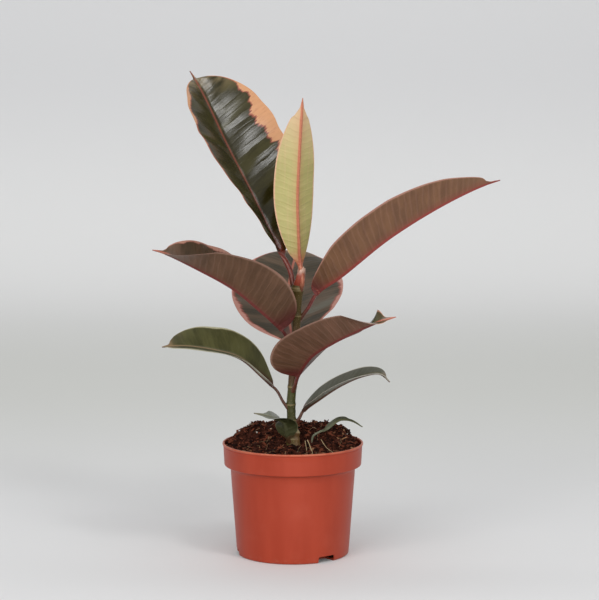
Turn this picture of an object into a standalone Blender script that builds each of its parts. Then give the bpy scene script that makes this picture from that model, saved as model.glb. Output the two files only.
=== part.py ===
"""A small rubber plant with ten leaves, standing in a plastic nursery pot.

Metres, +Z up. The origin is the middle of the pot's underside. The plant's best side faces -Y.
Each leaf is one solid: a round stalk that widens into a folded blade with a rib underneath.
"""

from math import cos, log, pi, radians, sin

import bmesh
import bpy
from mathutils import Matrix, Vector

# Clearance between pieces that touch or sit in one another.
GAP = 0.0003

# Flats round the pot and the soil, the same on both so that the gap between them is even.
ROUND_SEGMENTS = 48

# Nursery pot.
POT_HEIGHT = 0.096
RIM_RADIUS = 0.060
BASE_RADIUS = 0.0478
BAND_HEIGHT = 0.0185
BAND_STEP = 0.0052
BAND_TAPER = 0.0015
SHOULDER_DROP = 0.0034
WALL = 0.0011
LIP_THICKNESS = 0.0016
LIP_HEIGHT = 0.0016
FLOOR_THICKNESS = 0.0014
CORNER_RADIUS = 0.0016

# Drainage: three notches through the bottom corner, and a ring of small holes in the floor.
NOTCH_ANGLES = (-53.0, 67.0, 187.0)
NOTCH_WIDTH = 0.0165
NOTCH_HEIGHT = 0.0055
NOTCH_DEPTH = 0.012
DRAIN_HOLES = 6
DRAIN_RADIUS = 0.0025
DRAIN_CIRCLE = 0.024
DRAIN_TURN = 11.0

# Soil: low in front of the stem, heaped up behind it. Heights of the plant are above SOIL_LEVEL.
SOIL_BELOW_RIM = 0.0065
SOIL_LEVEL = POT_HEIGHT - SOIL_BELOW_RIM
SOIL_HEAP = 0.0170
HEAP_MIDDLE = (0.0, 0.030)
HEAP_REACH = 0.026
HEAP_WIDTH = 0.060
SOIL_AT_WALL = 0.0025
SOIL_RINGS = 9

# Stem: points up its middle, with heights above the soil, a buried foot and a flare at the soil.
STEM_FOOT_DEPTH = 0.030
STEM_RADIUS = 0.0037
FOOT_FLARE = 0.0022
FLARE_LENGTH = 0.016
STEM_HEIGHT = 0.1422
STEM_LINE = (
    (-0.0007, 0.0, -STEM_FOOT_DEPTH),
    (-0.0007, 0.0, 0.0025),
    (-0.0015, 0.0, 0.0425),
    (0.0002, 0.0, 0.0645),
    (0.0027, 0.0, 0.0945),
    (0.0044, 0.0, STEM_HEIGHT),
)
RING_SWELL = 0.0004
RING_LENGTH = 0.0022
STEM_SIDES = 16
STEM_STEP = 0.004
STEP_LEAST = 0.0008

# Pointed bud on top of the stem.
BUD_LENGTH = 0.019
BUD_RADIUS = 0.0019
BUD_LEAN = (0.0012, -0.0006)
BUD_FOOT_SHARE = 0.85
BUD_STEPS = 7

# Leaves.
STALK_RADIUS = 0.0016
STALK_GAP = 0.0005
STALK_LIFT = 0.12
STALK_STRAIGHT = 0.0020
BLADE_THICKNESS = 0.0009
MARGIN_THICKNESS = 0.0005
RIB_DEPTH = 0.0016
DRIP_TIP = 0.008
TIP_RADIUS = 0.0004
LEAF_STATIONS = 22

# Side shoot that comes up through the soil on the right.
SHOOT_PLACE = (0.0163, 0.0010)
SHOOT_BURIED = 0.010
SHOOT_CLEARANCE = 0.0006

# The leaves from the top of the stem down.
# rise: height of the leaf's ring above the soil; side: direction it leaves in, degrees from +X.
# stalk: length of its stalk; line: points along its middle, from where it leaves the stem's skin.
# half: half width of the blade; widest: share of the blade's length where it is widest.
# full: bluntness of the outline, lower is blunter; fold and curl: degrees that each half rises
# from the rib and rolls back; face: where the upper side looks, from the blade's foot to its tip.
LEAVES = (
    {
        "name": "leaf_upright_large", "rise": 0.139, "side": 150.0, "stalk": 0.034,
        "line": ((-0.0028, 0.0037, 0.0139), (-0.0132, 0.0117, 0.0331), (-0.0353, 0.0317, 0.0763),
                 (-0.0576, 0.0497, 0.1177), (-0.0755, 0.0617, 0.1546), (-0.0895, 0.0677, 0.1803)),
        "half": 0.051, "widest": 0.66, "full": 0.58, "fold": (40, 33, 25), "curl": (10, 10, 10),
        "face": ((0.70, -0.75, 0.1), (0.76, -0.80, 0.3), (0.9, -0.8, 0.3)),
    },
    {
        "name": "leaf_upright_young", "rise": 0.137, "side": -45.0, "stalk": 0.024,
        "line": ((0.0005, -0.0009, 0.0069), (-0.0014, -0.0009, 0.0237), (-0.0023, -0.0017, 0.0425),
                 (-0.0032, 0.0003, 0.0761), (-0.0015, 0.0043, 0.1179), (0.0010, 0.0083, 0.1614)),
        "half": 0.0215, "widest": 0.52, "full": 0.78, "fold": (30, 35, 30), "curl": (0, 0, 0),
        "face": ((-0.35, 1.0, 0.0), (-0.3, 1.0, 0.0)),
    },
    {
        "name": "leaf_right_long", "rise": 0.115, "side": -5.0, "stalk": 0.026,
        "line": ((0.0133, -0.0036, 0.0203), (0.0327, -0.0076, 0.0344), (0.0728, -0.0136, 0.0671),
                 (0.1154, -0.0136, 0.0936), (0.1490, -0.0096, 0.1097), (0.1659, -0.0076, 0.1154)),
        "half": 0.037, "widest": 0.44, "full": 0.80, "fold": (40, 40, 40), "curl": (5, 5, 5),
        "face": ((-0.54, 0.25, 0.8), (-0.5, 0.25, 0.8), (-0.3, 0.3, 0.9)),
    },
    {
        "name": "leaf_left_long", "rise": 0.091, "side": 190.0, "stalk": 0.020,
        "line": ((-0.0059, -0.0052, 0.0105), (-0.0294, -0.0132, 0.0336), (-0.0485, -0.0192, 0.0496),
                 (-0.0775, -0.0252, 0.0663), (-0.1039, -0.0292, 0.0793), (-0.1147, -0.0292, 0.0827)),
        "half": 0.044, "widest": 0.38, "full": 0.80, "fold": (40, 40, 40), "curl": (5, 5, 5),
        "face": ((0.54, 0.3, 0.8), (0.5, 0.25, 0.8), (0.35, 0.05, 0.8), (0.2, -0.6, 0.8)),
    },
    {
        "name": "leaf_rear", "rise": 0.080, "side": 95.0, "stalk": 0.016,
        "line": ((-0.0004, 0.0075, 0.0086), (-0.0046, 0.0455, 0.0243), (-0.0056, 0.0955, 0.0428),
                 (-0.0004, 0.1455, 0.0643), (0.0052, 0.1775, 0.0748)),
        "half": 0.050, "widest": 0.50, "full": 0.80, "fold": (15, 15, 10), "curl": (10, 10, 10),
        "face": ((-0.1, -0.6, 0.8), (0.05, -0.3, 1.0)),
    },
    {
        "name": "leaf_front", "rise": 0.0545, "side": -68.0, "stalk": 0.018,
        "line": ((0.0033, -0.0078, 0.0102), (0.0150, -0.0338, 0.0311), (0.0322, -0.0558, 0.0452),
                 (0.0540, -0.0738, 0.0585), (0.0715, -0.0838, 0.0672), (0.0828, -0.0858, 0.0707)),
        "half": 0.0375, "widest": 0.42, "full": 0.72, "fold": (20, 20, 30), "curl": (5, 5, 5),
        "face": ((-0.6, 0.8, 0.3), (-0.5, 0.7, 0.6), (-0.3, 0.5, 0.8), (-0.1, 0.3, 0.9), (0.1, -0.9, 0.5)),
    },
    {
        "name": "leaf_lower_left", "rise": 0.039, "side": 200.0, "stalk": 0.022,
        "line": ((-0.0077, -0.0024, 0.0116), (-0.0204, -0.0064, 0.0251), (-0.0389, -0.0104, 0.0411),
                 (-0.0649, -0.0144, 0.0489), (-0.0850, -0.0164, 0.0518), (-0.1044, -0.0164, 0.0514)),
        "half": 0.027, "widest": 0.58, "full": 0.68, "fold": (26, 26, 20), "curl": (5, 5, 5),
        "face": ((0.4, -0.25, 0.8), (0.0, -0.3, 0.9)),
    },
    {
        "name": "leaf_lower_right", "rise": 0.0255, "side": -15.0, "stalk": 0.014,
        "line": ((0.0062, -0.0018, 0.0085), (0.0189, -0.0068, 0.0189), (0.0375, -0.0128, 0.0318),
                 (0.0559, -0.0168, 0.0402), (0.0702, -0.0188, 0.0422), (0.0787, -0.0188, 0.0354)),
        "half": 0.022, "widest": 0.48, "full": 0.60, "fold": (18, 15, 15), "curl": (5, 5, 5),
        "face": ((-0.4, -0.1, 0.8), (0.1, -0.05, 0.9)),
    },
    {
        "name": "leaf_base_small", "rise": 0.0095, "side": -125.0, "stalk": 0.006,
        "line": ((-0.0019, -0.0055, 0.0049), (-0.0040, -0.0085, 0.0154),
                 (-0.0152, -0.0100, 0.0202), (-0.0293, -0.0120, 0.0241)),
        "half": 0.011, "widest": 0.50, "full": 0.70, "fold": (15, 15, 15), "curl": (5, 5, 5),
        "face": ((0.3, 0.9, 0.0), (0.2, 0.3, 0.9), (0.0, -0.45, 0.9)),
    },
)

# The side shoot is a narrow leaf; its line starts at the soil's surface.
SHOOT = {
    "name": "side_shoot", "stalk": 0.014 + SHOOT_BURIED, "thinner": 0.8,
    "line": ((0.0014, -0.0012, 0.0052), (0.0119, -0.0030, 0.0115), (0.0237, -0.0030, 0.0195),
             (0.0339, -0.0040, 0.0187), (0.0432, -0.0040, 0.0135)),
    "half": 0.0045, "widest": 0.45, "full": 0.80, "fold": (25, 25, 20), "curl": (5, 5, 5),
    "face": ((-0.3, 0.2, 0.9), (0.0, 0.2, 0.9)),
}


def remove_everything() -> None:
    for item in list(bpy.data.objects):
        bpy.data.objects.remove(item, do_unlink=True)


def material(name, colour, roughness, metallic=0.0):
    finish = bpy.data.materials.new(name)
    finish.use_nodes = True
    shader = finish.node_tree.nodes["Principled BSDF"]
    shader.inputs["Base Color"].default_value = (*colour, 1.0)
    shader.inputs["Roughness"].default_value = roughness
    shader.inputs["Metallic"].default_value = metallic
    finish.diffuse_color = (*colour, 1.0)
    return finish


def add_object(name, bm, finish):
    """Turn a finished bmesh into a named, smooth-shaded object with one material."""
    bmesh.ops.recalc_face_normals(bm, faces=bm.faces)
    mesh = bpy.data.meshes.new(name)
    bm.to_mesh(mesh)
    bm.free()
    mesh.materials.append(finish)
    mesh.shade_smooth()
    mesh.set_sharp_from_angle(angle=radians(40.0))
    item = bpy.data.objects.new(name, mesh)
    bpy.context.scene.collection.objects.link(item)
    return item


def cut(item, cutter):
    """Take a hidden cutter out of an item with an exact boolean."""
    cutter.hide_render = True
    cutter.display_type = "WIRE"
    trim = item.modifiers.new("cut_" + cutter.name, "BOOLEAN")
    trim.operation = "DIFFERENCE"
    trim.object = cutter
    trim.solver = "EXACT"


def turned(profile, segments):
    """Spin a closed (radius, height) outline about Z. Points on the axis merge into one."""
    bm = bmesh.new()
    points = [bm.verts.new((radius, 0.0, height)) for radius, height in profile]
    edges = []
    for index, point in enumerate(points):
        after = points[(index + 1) % len(points)]
        if point.co.x > 0.0 or after.co.x > 0.0:
            edges.append(bm.edges.new((point, after)))
    bmesh.ops.spin(bm, geom=points + edges, cent=(0, 0, 0), axis=(0, 0, 1),
                   angle=2 * pi, steps=segments, use_merge=True)
    bmesh.ops.remove_doubles(bm, verts=bm.verts, dist=0.00001)
    return bm


def arc(centre, radius, start, end, steps):
    """Points of an arc in the (radius, height) plane, with angles in degrees."""
    turns = [radians(start + (end - start) * step / steps) for step in range(steps + 1)]
    return [(centre[0] + radius * cos(a), centre[1] + radius * sin(a)) for a in turns]


# ---------------------------------------------------------------- pot

BAND_FOOT = POT_HEIGHT - BAND_HEIGHT
BAND_FOOT_RADIUS = RIM_RADIUS - BAND_TAPER
BODY_TOP = BAND_FOOT - SHOULDER_DROP
BODY_TOP_RADIUS = BAND_FOOT_RADIUS - BAND_STEP


def pot_inner_radius(height):
    """Inside radius of the pot's wall at a height, from the same sizes as its outside."""
    if height <= BODY_TOP:
        rise = height / BODY_TOP
        outer = BASE_RADIUS + (BODY_TOP_RADIUS - BASE_RADIUS) * rise
    elif height <= BAND_FOOT:
        rise = (height - BODY_TOP) / SHOULDER_DROP
        outer = BODY_TOP_RADIUS + (BAND_FOOT_RADIUS - BODY_TOP_RADIUS) * rise
    else:
        rise = (height - BAND_FOOT) / BAND_HEIGHT
        outer = BAND_FOOT_RADIUS + (RIM_RADIUS - BAND_FOOT_RADIUS) * rise
    return outer - WALL


def notch_block(name, angle, reach_in, side_room, top_room):
    """A block through the bottom corner of the pot at one notch."""
    outer = BASE_RADIUS + WALL * 4
    inner = BASE_RADIUS - WALL - reach_in
    height = NOTCH_HEIGHT + top_room
    bm = bmesh.new()
    bmesh.ops.create_cube(bm, size=1.0)
    size = Vector((outer - inner, NOTCH_WIDTH + 2 * side_room, 2 * height))
    bmesh.ops.scale(bm, vec=size, verts=bm.verts)
    bmesh.ops.translate(bm, vec=((outer + inner) / 2, 0, 0), verts=bm.verts)
    bmesh.ops.rotate(bm, cent=(0, 0, 0), matrix=Matrix.Rotation(radians(angle), 3, "Z"), verts=bm.verts)
    block = add_object(name, bm, material(name, (0.5, 0.5, 0.5), 0.5))
    return block


def rod(name, radius, low, high, at, sides):
    """A plain upright cylinder, used to cut a round hole."""
    bm = bmesh.new()
    bmesh.ops.create_cone(bm, cap_ends=True, segments=sides, radius1=radius, radius2=radius, depth=high - low)
    bmesh.ops.translate(bm, vec=(at[0], at[1], (low + high) / 2), verts=bm.verts)
    return add_object(name, bm, material(name, (0.5, 0.5, 0.5), 0.5))


def build_pot():
    outside = [(0.0, 0.0)]
    outside += arc((BASE_RADIUS - CORNER_RADIUS, CORNER_RADIUS), CORNER_RADIUS, -90, 0, 3)
    outside += [(BODY_TOP_RADIUS, BODY_TOP), (BAND_FOOT_RADIUS, BAND_FOOT), (RIM_RADIUS, POT_HEIGHT - LIP_HEIGHT)]
    outside += [(RIM_RADIUS, POT_HEIGHT), (RIM_RADIUS - LIP_THICKNESS, POT_HEIGHT)]
    lip_under = POT_HEIGHT - 2 * LIP_HEIGHT
    inside = [(pot_inner_radius(lip_under), lip_under)]
    inside += [(pot_inner_radius(level), level) for level in (BAND_FOOT, BODY_TOP)]
    inside += [(pot_inner_radius(FLOOR_THICKNESS) - 0.0003, FLOOR_THICKNESS)]
    inside += [(0.0, FLOOR_THICKNESS)]
    plastic = material("terracotta_plastic", (0.402, 0.065, 0.038), 0.38)
    pot = add_object("pot", turned(outside + inside, ROUND_SEGMENTS), plastic)
    for number, angle in enumerate(NOTCH_ANGLES):
        cut(pot, notch_block(f"notch_cutter_{number}", angle, NOTCH_DEPTH, 0.0, 0.0))
    for number in range(DRAIN_HOLES):
        turn = radians(DRAIN_TURN) + 2 * pi * number / DRAIN_HOLES
        place = (DRAIN_CIRCLE * cos(turn), DRAIN_CIRCLE * sin(turn))
        cut(pot, rod(f"drain_cutter_{number}", DRAIN_RADIUS, -0.002, FLOOR_THICKNESS + 0.002, place, 12))
    return pot


# ---------------------------------------------------------------- stem and soil

def smooth_line(points, steps):
    """Points along a smooth curve through the given ones, with a number of steps between each two."""
    ends = [2 * points[0] - points[1]] + list(points) + [2 * points[-1] - points[-2]]
    knots = [0.0]
    for before, after in zip(ends, ends[1:]):
        knots.append(knots[-1] + (after - before).length ** 0.5)
    line = []
    for index in range(1, len(ends) - 2):
        a, b, c, d = ends[index - 1:index + 3]
        ka, kb, kc, kd = knots[index - 1:index + 3]
        span = kc - kb
        leave = ((b - a) / (kb - ka) - (c - a) / (kc - ka) + (c - b) / span) * span
        arrive = ((c - b) / span - (d - b) / (kd - kb) + (d - c) / (kd - kc)) * span
        for step in range(steps):
            u = step / steps
            line.append(b * (2 * u ** 3 - 3 * u ** 2 + 1) + leave * (u ** 3 - 2 * u ** 2 + u)
                        + c * (3 * u ** 2 - 2 * u ** 3) + arrive * (u ** 3 - u ** 2))
    return line + [points[-1]]


def stem_axis(rise):
    """Middle of the stem at a height above the soil."""
    for low, high in zip(STEM_LINE, STEM_LINE[1:]):
        if rise <= high[2] or high is STEM_LINE[-1]:
            point = Vector(low).lerp(Vector(high), (rise - low[2]) / (high[2] - low[2]))
            return point + Vector((0.0, 0.0, SOIL_LEVEL))


def stem_radius(rise):
    """Radius of the stem: flared at the soil, swollen a little at each leaf's ring."""
    above = max(rise, 0.0) / FLARE_LENGTH
    radius = STEM_RADIUS + FOOT_FLARE * max(1.0 - above, 0.0) ** 2
    for leaf in LEAVES:
        away = abs(rise - leaf["rise"]) / RING_LENGTH
        radius += RING_SWELL * max(1.0 - away, 0.0)
    return radius


def soil_height(x, y):
    """Height of the soil's surface above the table."""
    across = ((x - HEAP_MIDDLE[0]) / HEAP_WIDTH) ** 6
    back = ((y - HEAP_MIDDLE[1]) / HEAP_REACH) ** 4
    wall = pot_inner_radius(SOIL_LEVEL)
    edge = min((x * x + y * y) ** 0.5 / wall, 1.0)
    heap = SOIL_HEAP / (1.0 + across + back) * (1.0 - edge ** 14)
    return SOIL_LEVEL + heap - SOIL_AT_WALL * edge ** 4 * max(-y, 0.0) / wall


def grow(bm, cap, centre, growth, middle):
    """Extrude the end face of a rod to a new centre and scale, and return the new end face."""
    grown = bmesh.ops.extrude_face_region(bm, geom=cap)["geom"]
    bmesh.ops.delete(bm, geom=cap, context="FACES")
    for part in grown:
        if isinstance(part, bmesh.types.BMVert):
            part.co = centre + (part.co - middle) * growth
    return [part for part in grown if isinstance(part, bmesh.types.BMFace)]


def stem_levels():
    """Heights above the soil where the stem gets a ring of points, none closer than STEP_LEAST."""
    levels = {-STEM_FOOT_DEPTH, -0.002}
    levels |= {step * STEM_STEP for step in range(int(STEM_HEIGHT / STEM_STEP))}
    for leaf in LEAVES:
        levels |= {leaf["rise"] - RING_LENGTH, leaf["rise"], leaf["rise"] + RING_LENGTH}
    kept = []
    for level in sorted(levels):
        if level < STEM_HEIGHT - STEP_LEAST and (not kept or level - kept[-1] > STEP_LEAST):
            kept.append(level)
    return kept + [STEM_HEIGHT]


def build_stem():
    levels = stem_levels()
    foot = levels[0]
    bm = bmesh.new()
    bmesh.ops.create_circle(bm, cap_ends=True, segments=STEM_SIDES, radius=stem_radius(foot))
    bmesh.ops.translate(bm, vec=stem_axis(foot), verts=bm.verts)
    cap = bm.faces[:]
    for low, high in zip(levels, levels[1:]):
        cap = grow(bm, cap, stem_axis(high), stem_radius(high) / stem_radius(low), stem_axis(low))
    bmesh.ops.contextual_create(bm, geom=[e for e in bm.edges if e.is_boundary])
    return add_object("stem", bm, material("green_stem", (0.10, 0.13, 0.04), 0.5))


def build_bud():
    base = stem_axis(STEM_HEIGHT) + Vector((0, 0, GAP))
    before = BUD_RADIUS * BUD_FOOT_SHARE
    bm = bmesh.new()
    bmesh.ops.create_circle(bm, cap_ends=True, segments=12, radius=before)
    bmesh.ops.translate(bm, vec=base, verts=bm.verts)
    cap = bm.faces[:]
    middle = base
    for step in range(1, BUD_STEPS + 1):
        share = step / BUD_STEPS
        radius = BUD_RADIUS * max(1.0 - share ** 1.7, 0.12)
        centre = base + Vector((BUD_LEAN[0], BUD_LEAN[1], BUD_LENGTH)) * share
        cap = grow(bm, cap, centre, radius / before, middle)
        before = radius
        middle = centre
    bmesh.ops.contextual_create(bm, geom=[e for e in bm.edges if e.is_boundary])
    return add_object("tip_bud", bm, material("pink_bud", (0.55, 0.16, 0.12), 0.4))


def build_soil():
    socket = STEM_RADIUS + FOOT_FLARE + RING_SWELL + GAP
    socket_floor = SOIL_LEVEL - STEM_FOOT_DEPTH - GAP
    bottom = FLOOR_THICKNESS + GAP
    wall = pot_inner_radius(SOIL_LEVEL) - GAP
    profile = [(0.0, bottom), (pot_inner_radius(bottom) - 2 * GAP, bottom)]
    profile += [(pot_inner_radius(level) - GAP, level) for level in (BODY_TOP, BAND_FOOT, SOIL_LEVEL)]
    for ring in range(1, SOIL_RINGS + 1):
        profile.append((wall + (socket - wall) * ring / SOIL_RINGS, SOIL_LEVEL + 0.001))
    profile += [(socket, socket_floor), (0.0, socket_floor)]
    bm = turned(profile, ROUND_SEGMENTS)
    foot = stem_axis(0.0)
    for vert in bm.verts:
        if vert.co.xy.length < socket + 0.0001:
            vert.co.x += foot.x
        if vert.co.z > SOIL_LEVEL - 0.0002:
            vert.co.z = soil_height(vert.co.x, vert.co.y)
    soil = add_object("soil", bm, material("dark_soil", (0.035, 0.018, 0.012), 0.95))
    for number, angle in enumerate(NOTCH_ANGLES):
        cut(soil, notch_block(f"soil_cutter_{number}", angle, NOTCH_DEPTH + 0.001, GAP, GAP))
    hole = STALK_RADIUS * SHOOT["thinner"] + SHOOT_CLEARANCE
    floor = shoot_foot().z - SHOOT_BURIED - GAP
    cut(soil, rod("shoot_socket", hole, floor, POT_HEIGHT + SOIL_HEAP, SHOOT_PLACE, 12))
    return soil


def shoot_foot():
    """Where the side shoot comes out of the soil."""
    return Vector((*SHOOT_PLACE, soil_height(*SHOOT_PLACE)))


# ---------------------------------------------------------------- leaves

def stepped(values, share):
    """Value part of the way along a row of even steps."""
    place = min(max(share, 0.0), 1.0) * (len(values) - 1)
    index = min(int(place), len(values) - 2)
    rest = place - index
    return values[index] * (1.0 - rest) + values[index + 1] * rest


def blade_half_width(leaf, share):
    """Half width of the blade, with share 0 at its foot and 1 at the tip of the drip tip."""
    shift = log(0.5) / log(leaf["widest"])
    u = min(max(share, 0.0), 1.0) ** shift
    body = max(1.0 - abs(2.0 * u - 1.0) ** 2.2, 0.0) ** leaf["full"]
    return leaf["half"] * body


def leaf_mesh(leaf, points, stalk_radius):
    """One closed solid: a grid wrapped round the leaf's section, station by station."""
    samples = smooth_line(points, 40)
    length = [0.0]
    for before, after in zip(samples, samples[1:]):
        length.append(length[-1] + (after - before).length)
    total = length[-1]
    lateral = (-1.0, -0.62, -0.25, 0.0, 0.25, 0.62, 1.0, 0.62, 0.25, 0.08, 0.0, -0.08, -0.25, -0.62)
    sides = len(lateral)
    bm = bmesh.new()
    bmesh.ops.create_grid(bm, x_segments=LEAF_STATIONS - 1, y_segments=sides, size=1.0)
    stations = []
    for station in range(LEAF_STATIONS):
        even = station / (LEAF_STATIONS - 1)
        travelled = total * (even - 0.035 * sin(2 * pi * even))
        index = 0
        while index < len(samples) - 2 and length[index + 1] < travelled:
            index += 1
        rest = (travelled - length[index]) / (length[index + 1] - length[index])
        tangent = (samples[index + 1] - samples[index]).normalized()
        stations.append((samples[index].lerp(samples[index + 1], rest), tangent, travelled))
    for vert in bm.verts:
        station = round((vert.co.x + 1.0) / 2.0 * (LEAF_STATIONS - 1))
        side = round((vert.co.y + 1.0) / 2.0 * sides) % sides
        centre, tangent, travelled = stations[station]
        vert.co = section_point(leaf, centre, tangent, travelled, total,
                                lateral[side], side < 7, stalk_radius, 2 * pi * side / sides)
    bmesh.ops.remove_doubles(bm, verts=bm.verts, dist=0.000005)
    bmesh.ops.holes_fill(bm, edges=[e for e in bm.edges if e.is_boundary], sides=0)
    return bm


def section_point(leaf, centre, tangent, travelled, total, across, upper, stalk_radius, turn):
    """A point of the leaf's section: a circle on the stalk, a folded blade with a rib beyond it."""
    blade_length = total - leaf["stalk"]
    share = (travelled - leaf["stalk"]) / blade_length
    tip_start = 1.0 - DRIP_TIP / blade_length
    looks = stepped([Vector(item).normalized() for item in leaf["face"]], share)
    normal = (looks - looks.dot(tangent) * tangent).normalized()
    right = tangent.cross(normal)
    blade = blade_half_width(leaf, share / tip_start)
    thin = max(share, 0.0) ** 0.8
    core = stalk_radius + (TIP_RADIUS - stalk_radius) * thin
    width = (blade * blade + core * core) ** 0.5
    flat = min(max(blade / (4.0 * stalk_radius), 0.0), 1.0)
    fold = radians(stepped(leaf["fold"], share)) * flat
    curl = radians(stepped(leaf["curl"], share)) * flat
    out = abs(across)
    angle = fold - curl * out / 2
    sign = 1.0 if across > 0 else -1.0
    reach = width * out
    flat_point = centre + right * sign * reach * cos(angle) + normal * reach * sin(angle)
    thick = BLADE_THICKNESS + (MARGIN_THICKNESS - BLADE_THICKNESS) * out
    if upper:
        flat_point += normal * thick * 0.5 * (1.0 if out < 1.0 else 0.0)
    else:
        rib = RIB_DEPTH * (1.0 - 0.75 * max(share, 0.0)) if out < 0.05 else 0.0
        flat_point -= normal * (thick * 0.5 + rib)
    round_point = centre - right * core * cos(turn) + normal * core * sin(turn)
    return round_point.lerp(flat_point, flat)


def leaf_points(leaf):
    """Points along a leaf's middle, starting clear of the stem's skin."""
    turn = radians(leaf["side"])
    away = Vector((cos(turn), sin(turn), STALK_LIFT)).normalized()
    start = stem_axis(leaf["rise"]) + away * (stem_radius(leaf["rise"]) + STALK_GAP)
    return [start, start + away * STALK_STRAIGHT] + [start + Vector(point) for point in leaf["line"]]


def build_leaves():
    green = material("leaf_green", (0.05, 0.08, 0.03), 0.3)
    brown = material("leaf_brown", (0.20, 0.08, 0.055), 0.45)
    olive = material("leaf_olive", (0.33, 0.33, 0.14), 0.4)
    finishes = {
        "leaf_upright_young": olive, "leaf_right_long": brown,
        "leaf_left_long": brown, "leaf_front": brown,
    }
    for leaf in LEAVES:
        bm = leaf_mesh(leaf, leaf_points(leaf), STALK_RADIUS)
        add_object(leaf["name"], bm, finishes.get(leaf["name"], green))
    foot = shoot_foot()
    points = [foot - Vector((0, 0, SHOOT_BURIED)), foot]
    points += [foot + Vector(point) for point in SHOOT["line"]]
    add_object(SHOOT["name"], leaf_mesh(SHOOT, points, STALK_RADIUS * SHOOT["thinner"]), green)


remove_everything()
build_pot()
build_soil()
build_stem()
build_bud()
build_leaves()
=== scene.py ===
import logging
from dataclasses import dataclass, field, replace
from enum import Enum
from math import cos, exp, hypot, log, pi, radians, sin
from random import Random
from typing import Callable, Sequence

import bmesh
import bpy
from mathutils import Euler, Matrix, Vector, noise


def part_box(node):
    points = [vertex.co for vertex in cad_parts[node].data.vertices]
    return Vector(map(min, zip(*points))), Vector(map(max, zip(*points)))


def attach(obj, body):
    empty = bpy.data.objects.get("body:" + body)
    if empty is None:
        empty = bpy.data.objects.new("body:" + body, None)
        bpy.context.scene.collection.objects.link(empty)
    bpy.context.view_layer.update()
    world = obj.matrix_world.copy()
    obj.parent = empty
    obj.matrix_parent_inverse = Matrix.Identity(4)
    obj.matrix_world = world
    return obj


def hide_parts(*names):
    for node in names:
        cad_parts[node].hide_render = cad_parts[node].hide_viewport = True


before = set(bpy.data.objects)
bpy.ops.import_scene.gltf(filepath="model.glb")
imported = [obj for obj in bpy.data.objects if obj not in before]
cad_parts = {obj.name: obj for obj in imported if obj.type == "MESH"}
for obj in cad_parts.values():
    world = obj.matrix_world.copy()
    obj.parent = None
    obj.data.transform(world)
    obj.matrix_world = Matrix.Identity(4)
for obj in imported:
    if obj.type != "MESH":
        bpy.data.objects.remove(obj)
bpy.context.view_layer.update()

LOG = logging.getLogger("rubber_plant")
Colour = tuple[float, float, float]
Point = tuple[float, float, float]
Socket = bpy.types.NodeSocket
Value = Socket | float | Colour


class Side(Enum):
    """The faces of a leaf that take different finishes."""

    UPPER = 0
    UNDER = 1
    STALK = 2


class Grain(Enum):
    """The shapes of loose bits in the soil."""

    CHIP = "chip"
    GRANULE = "granule"


# ---------------------------------------------------------------- shared tools


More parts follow.
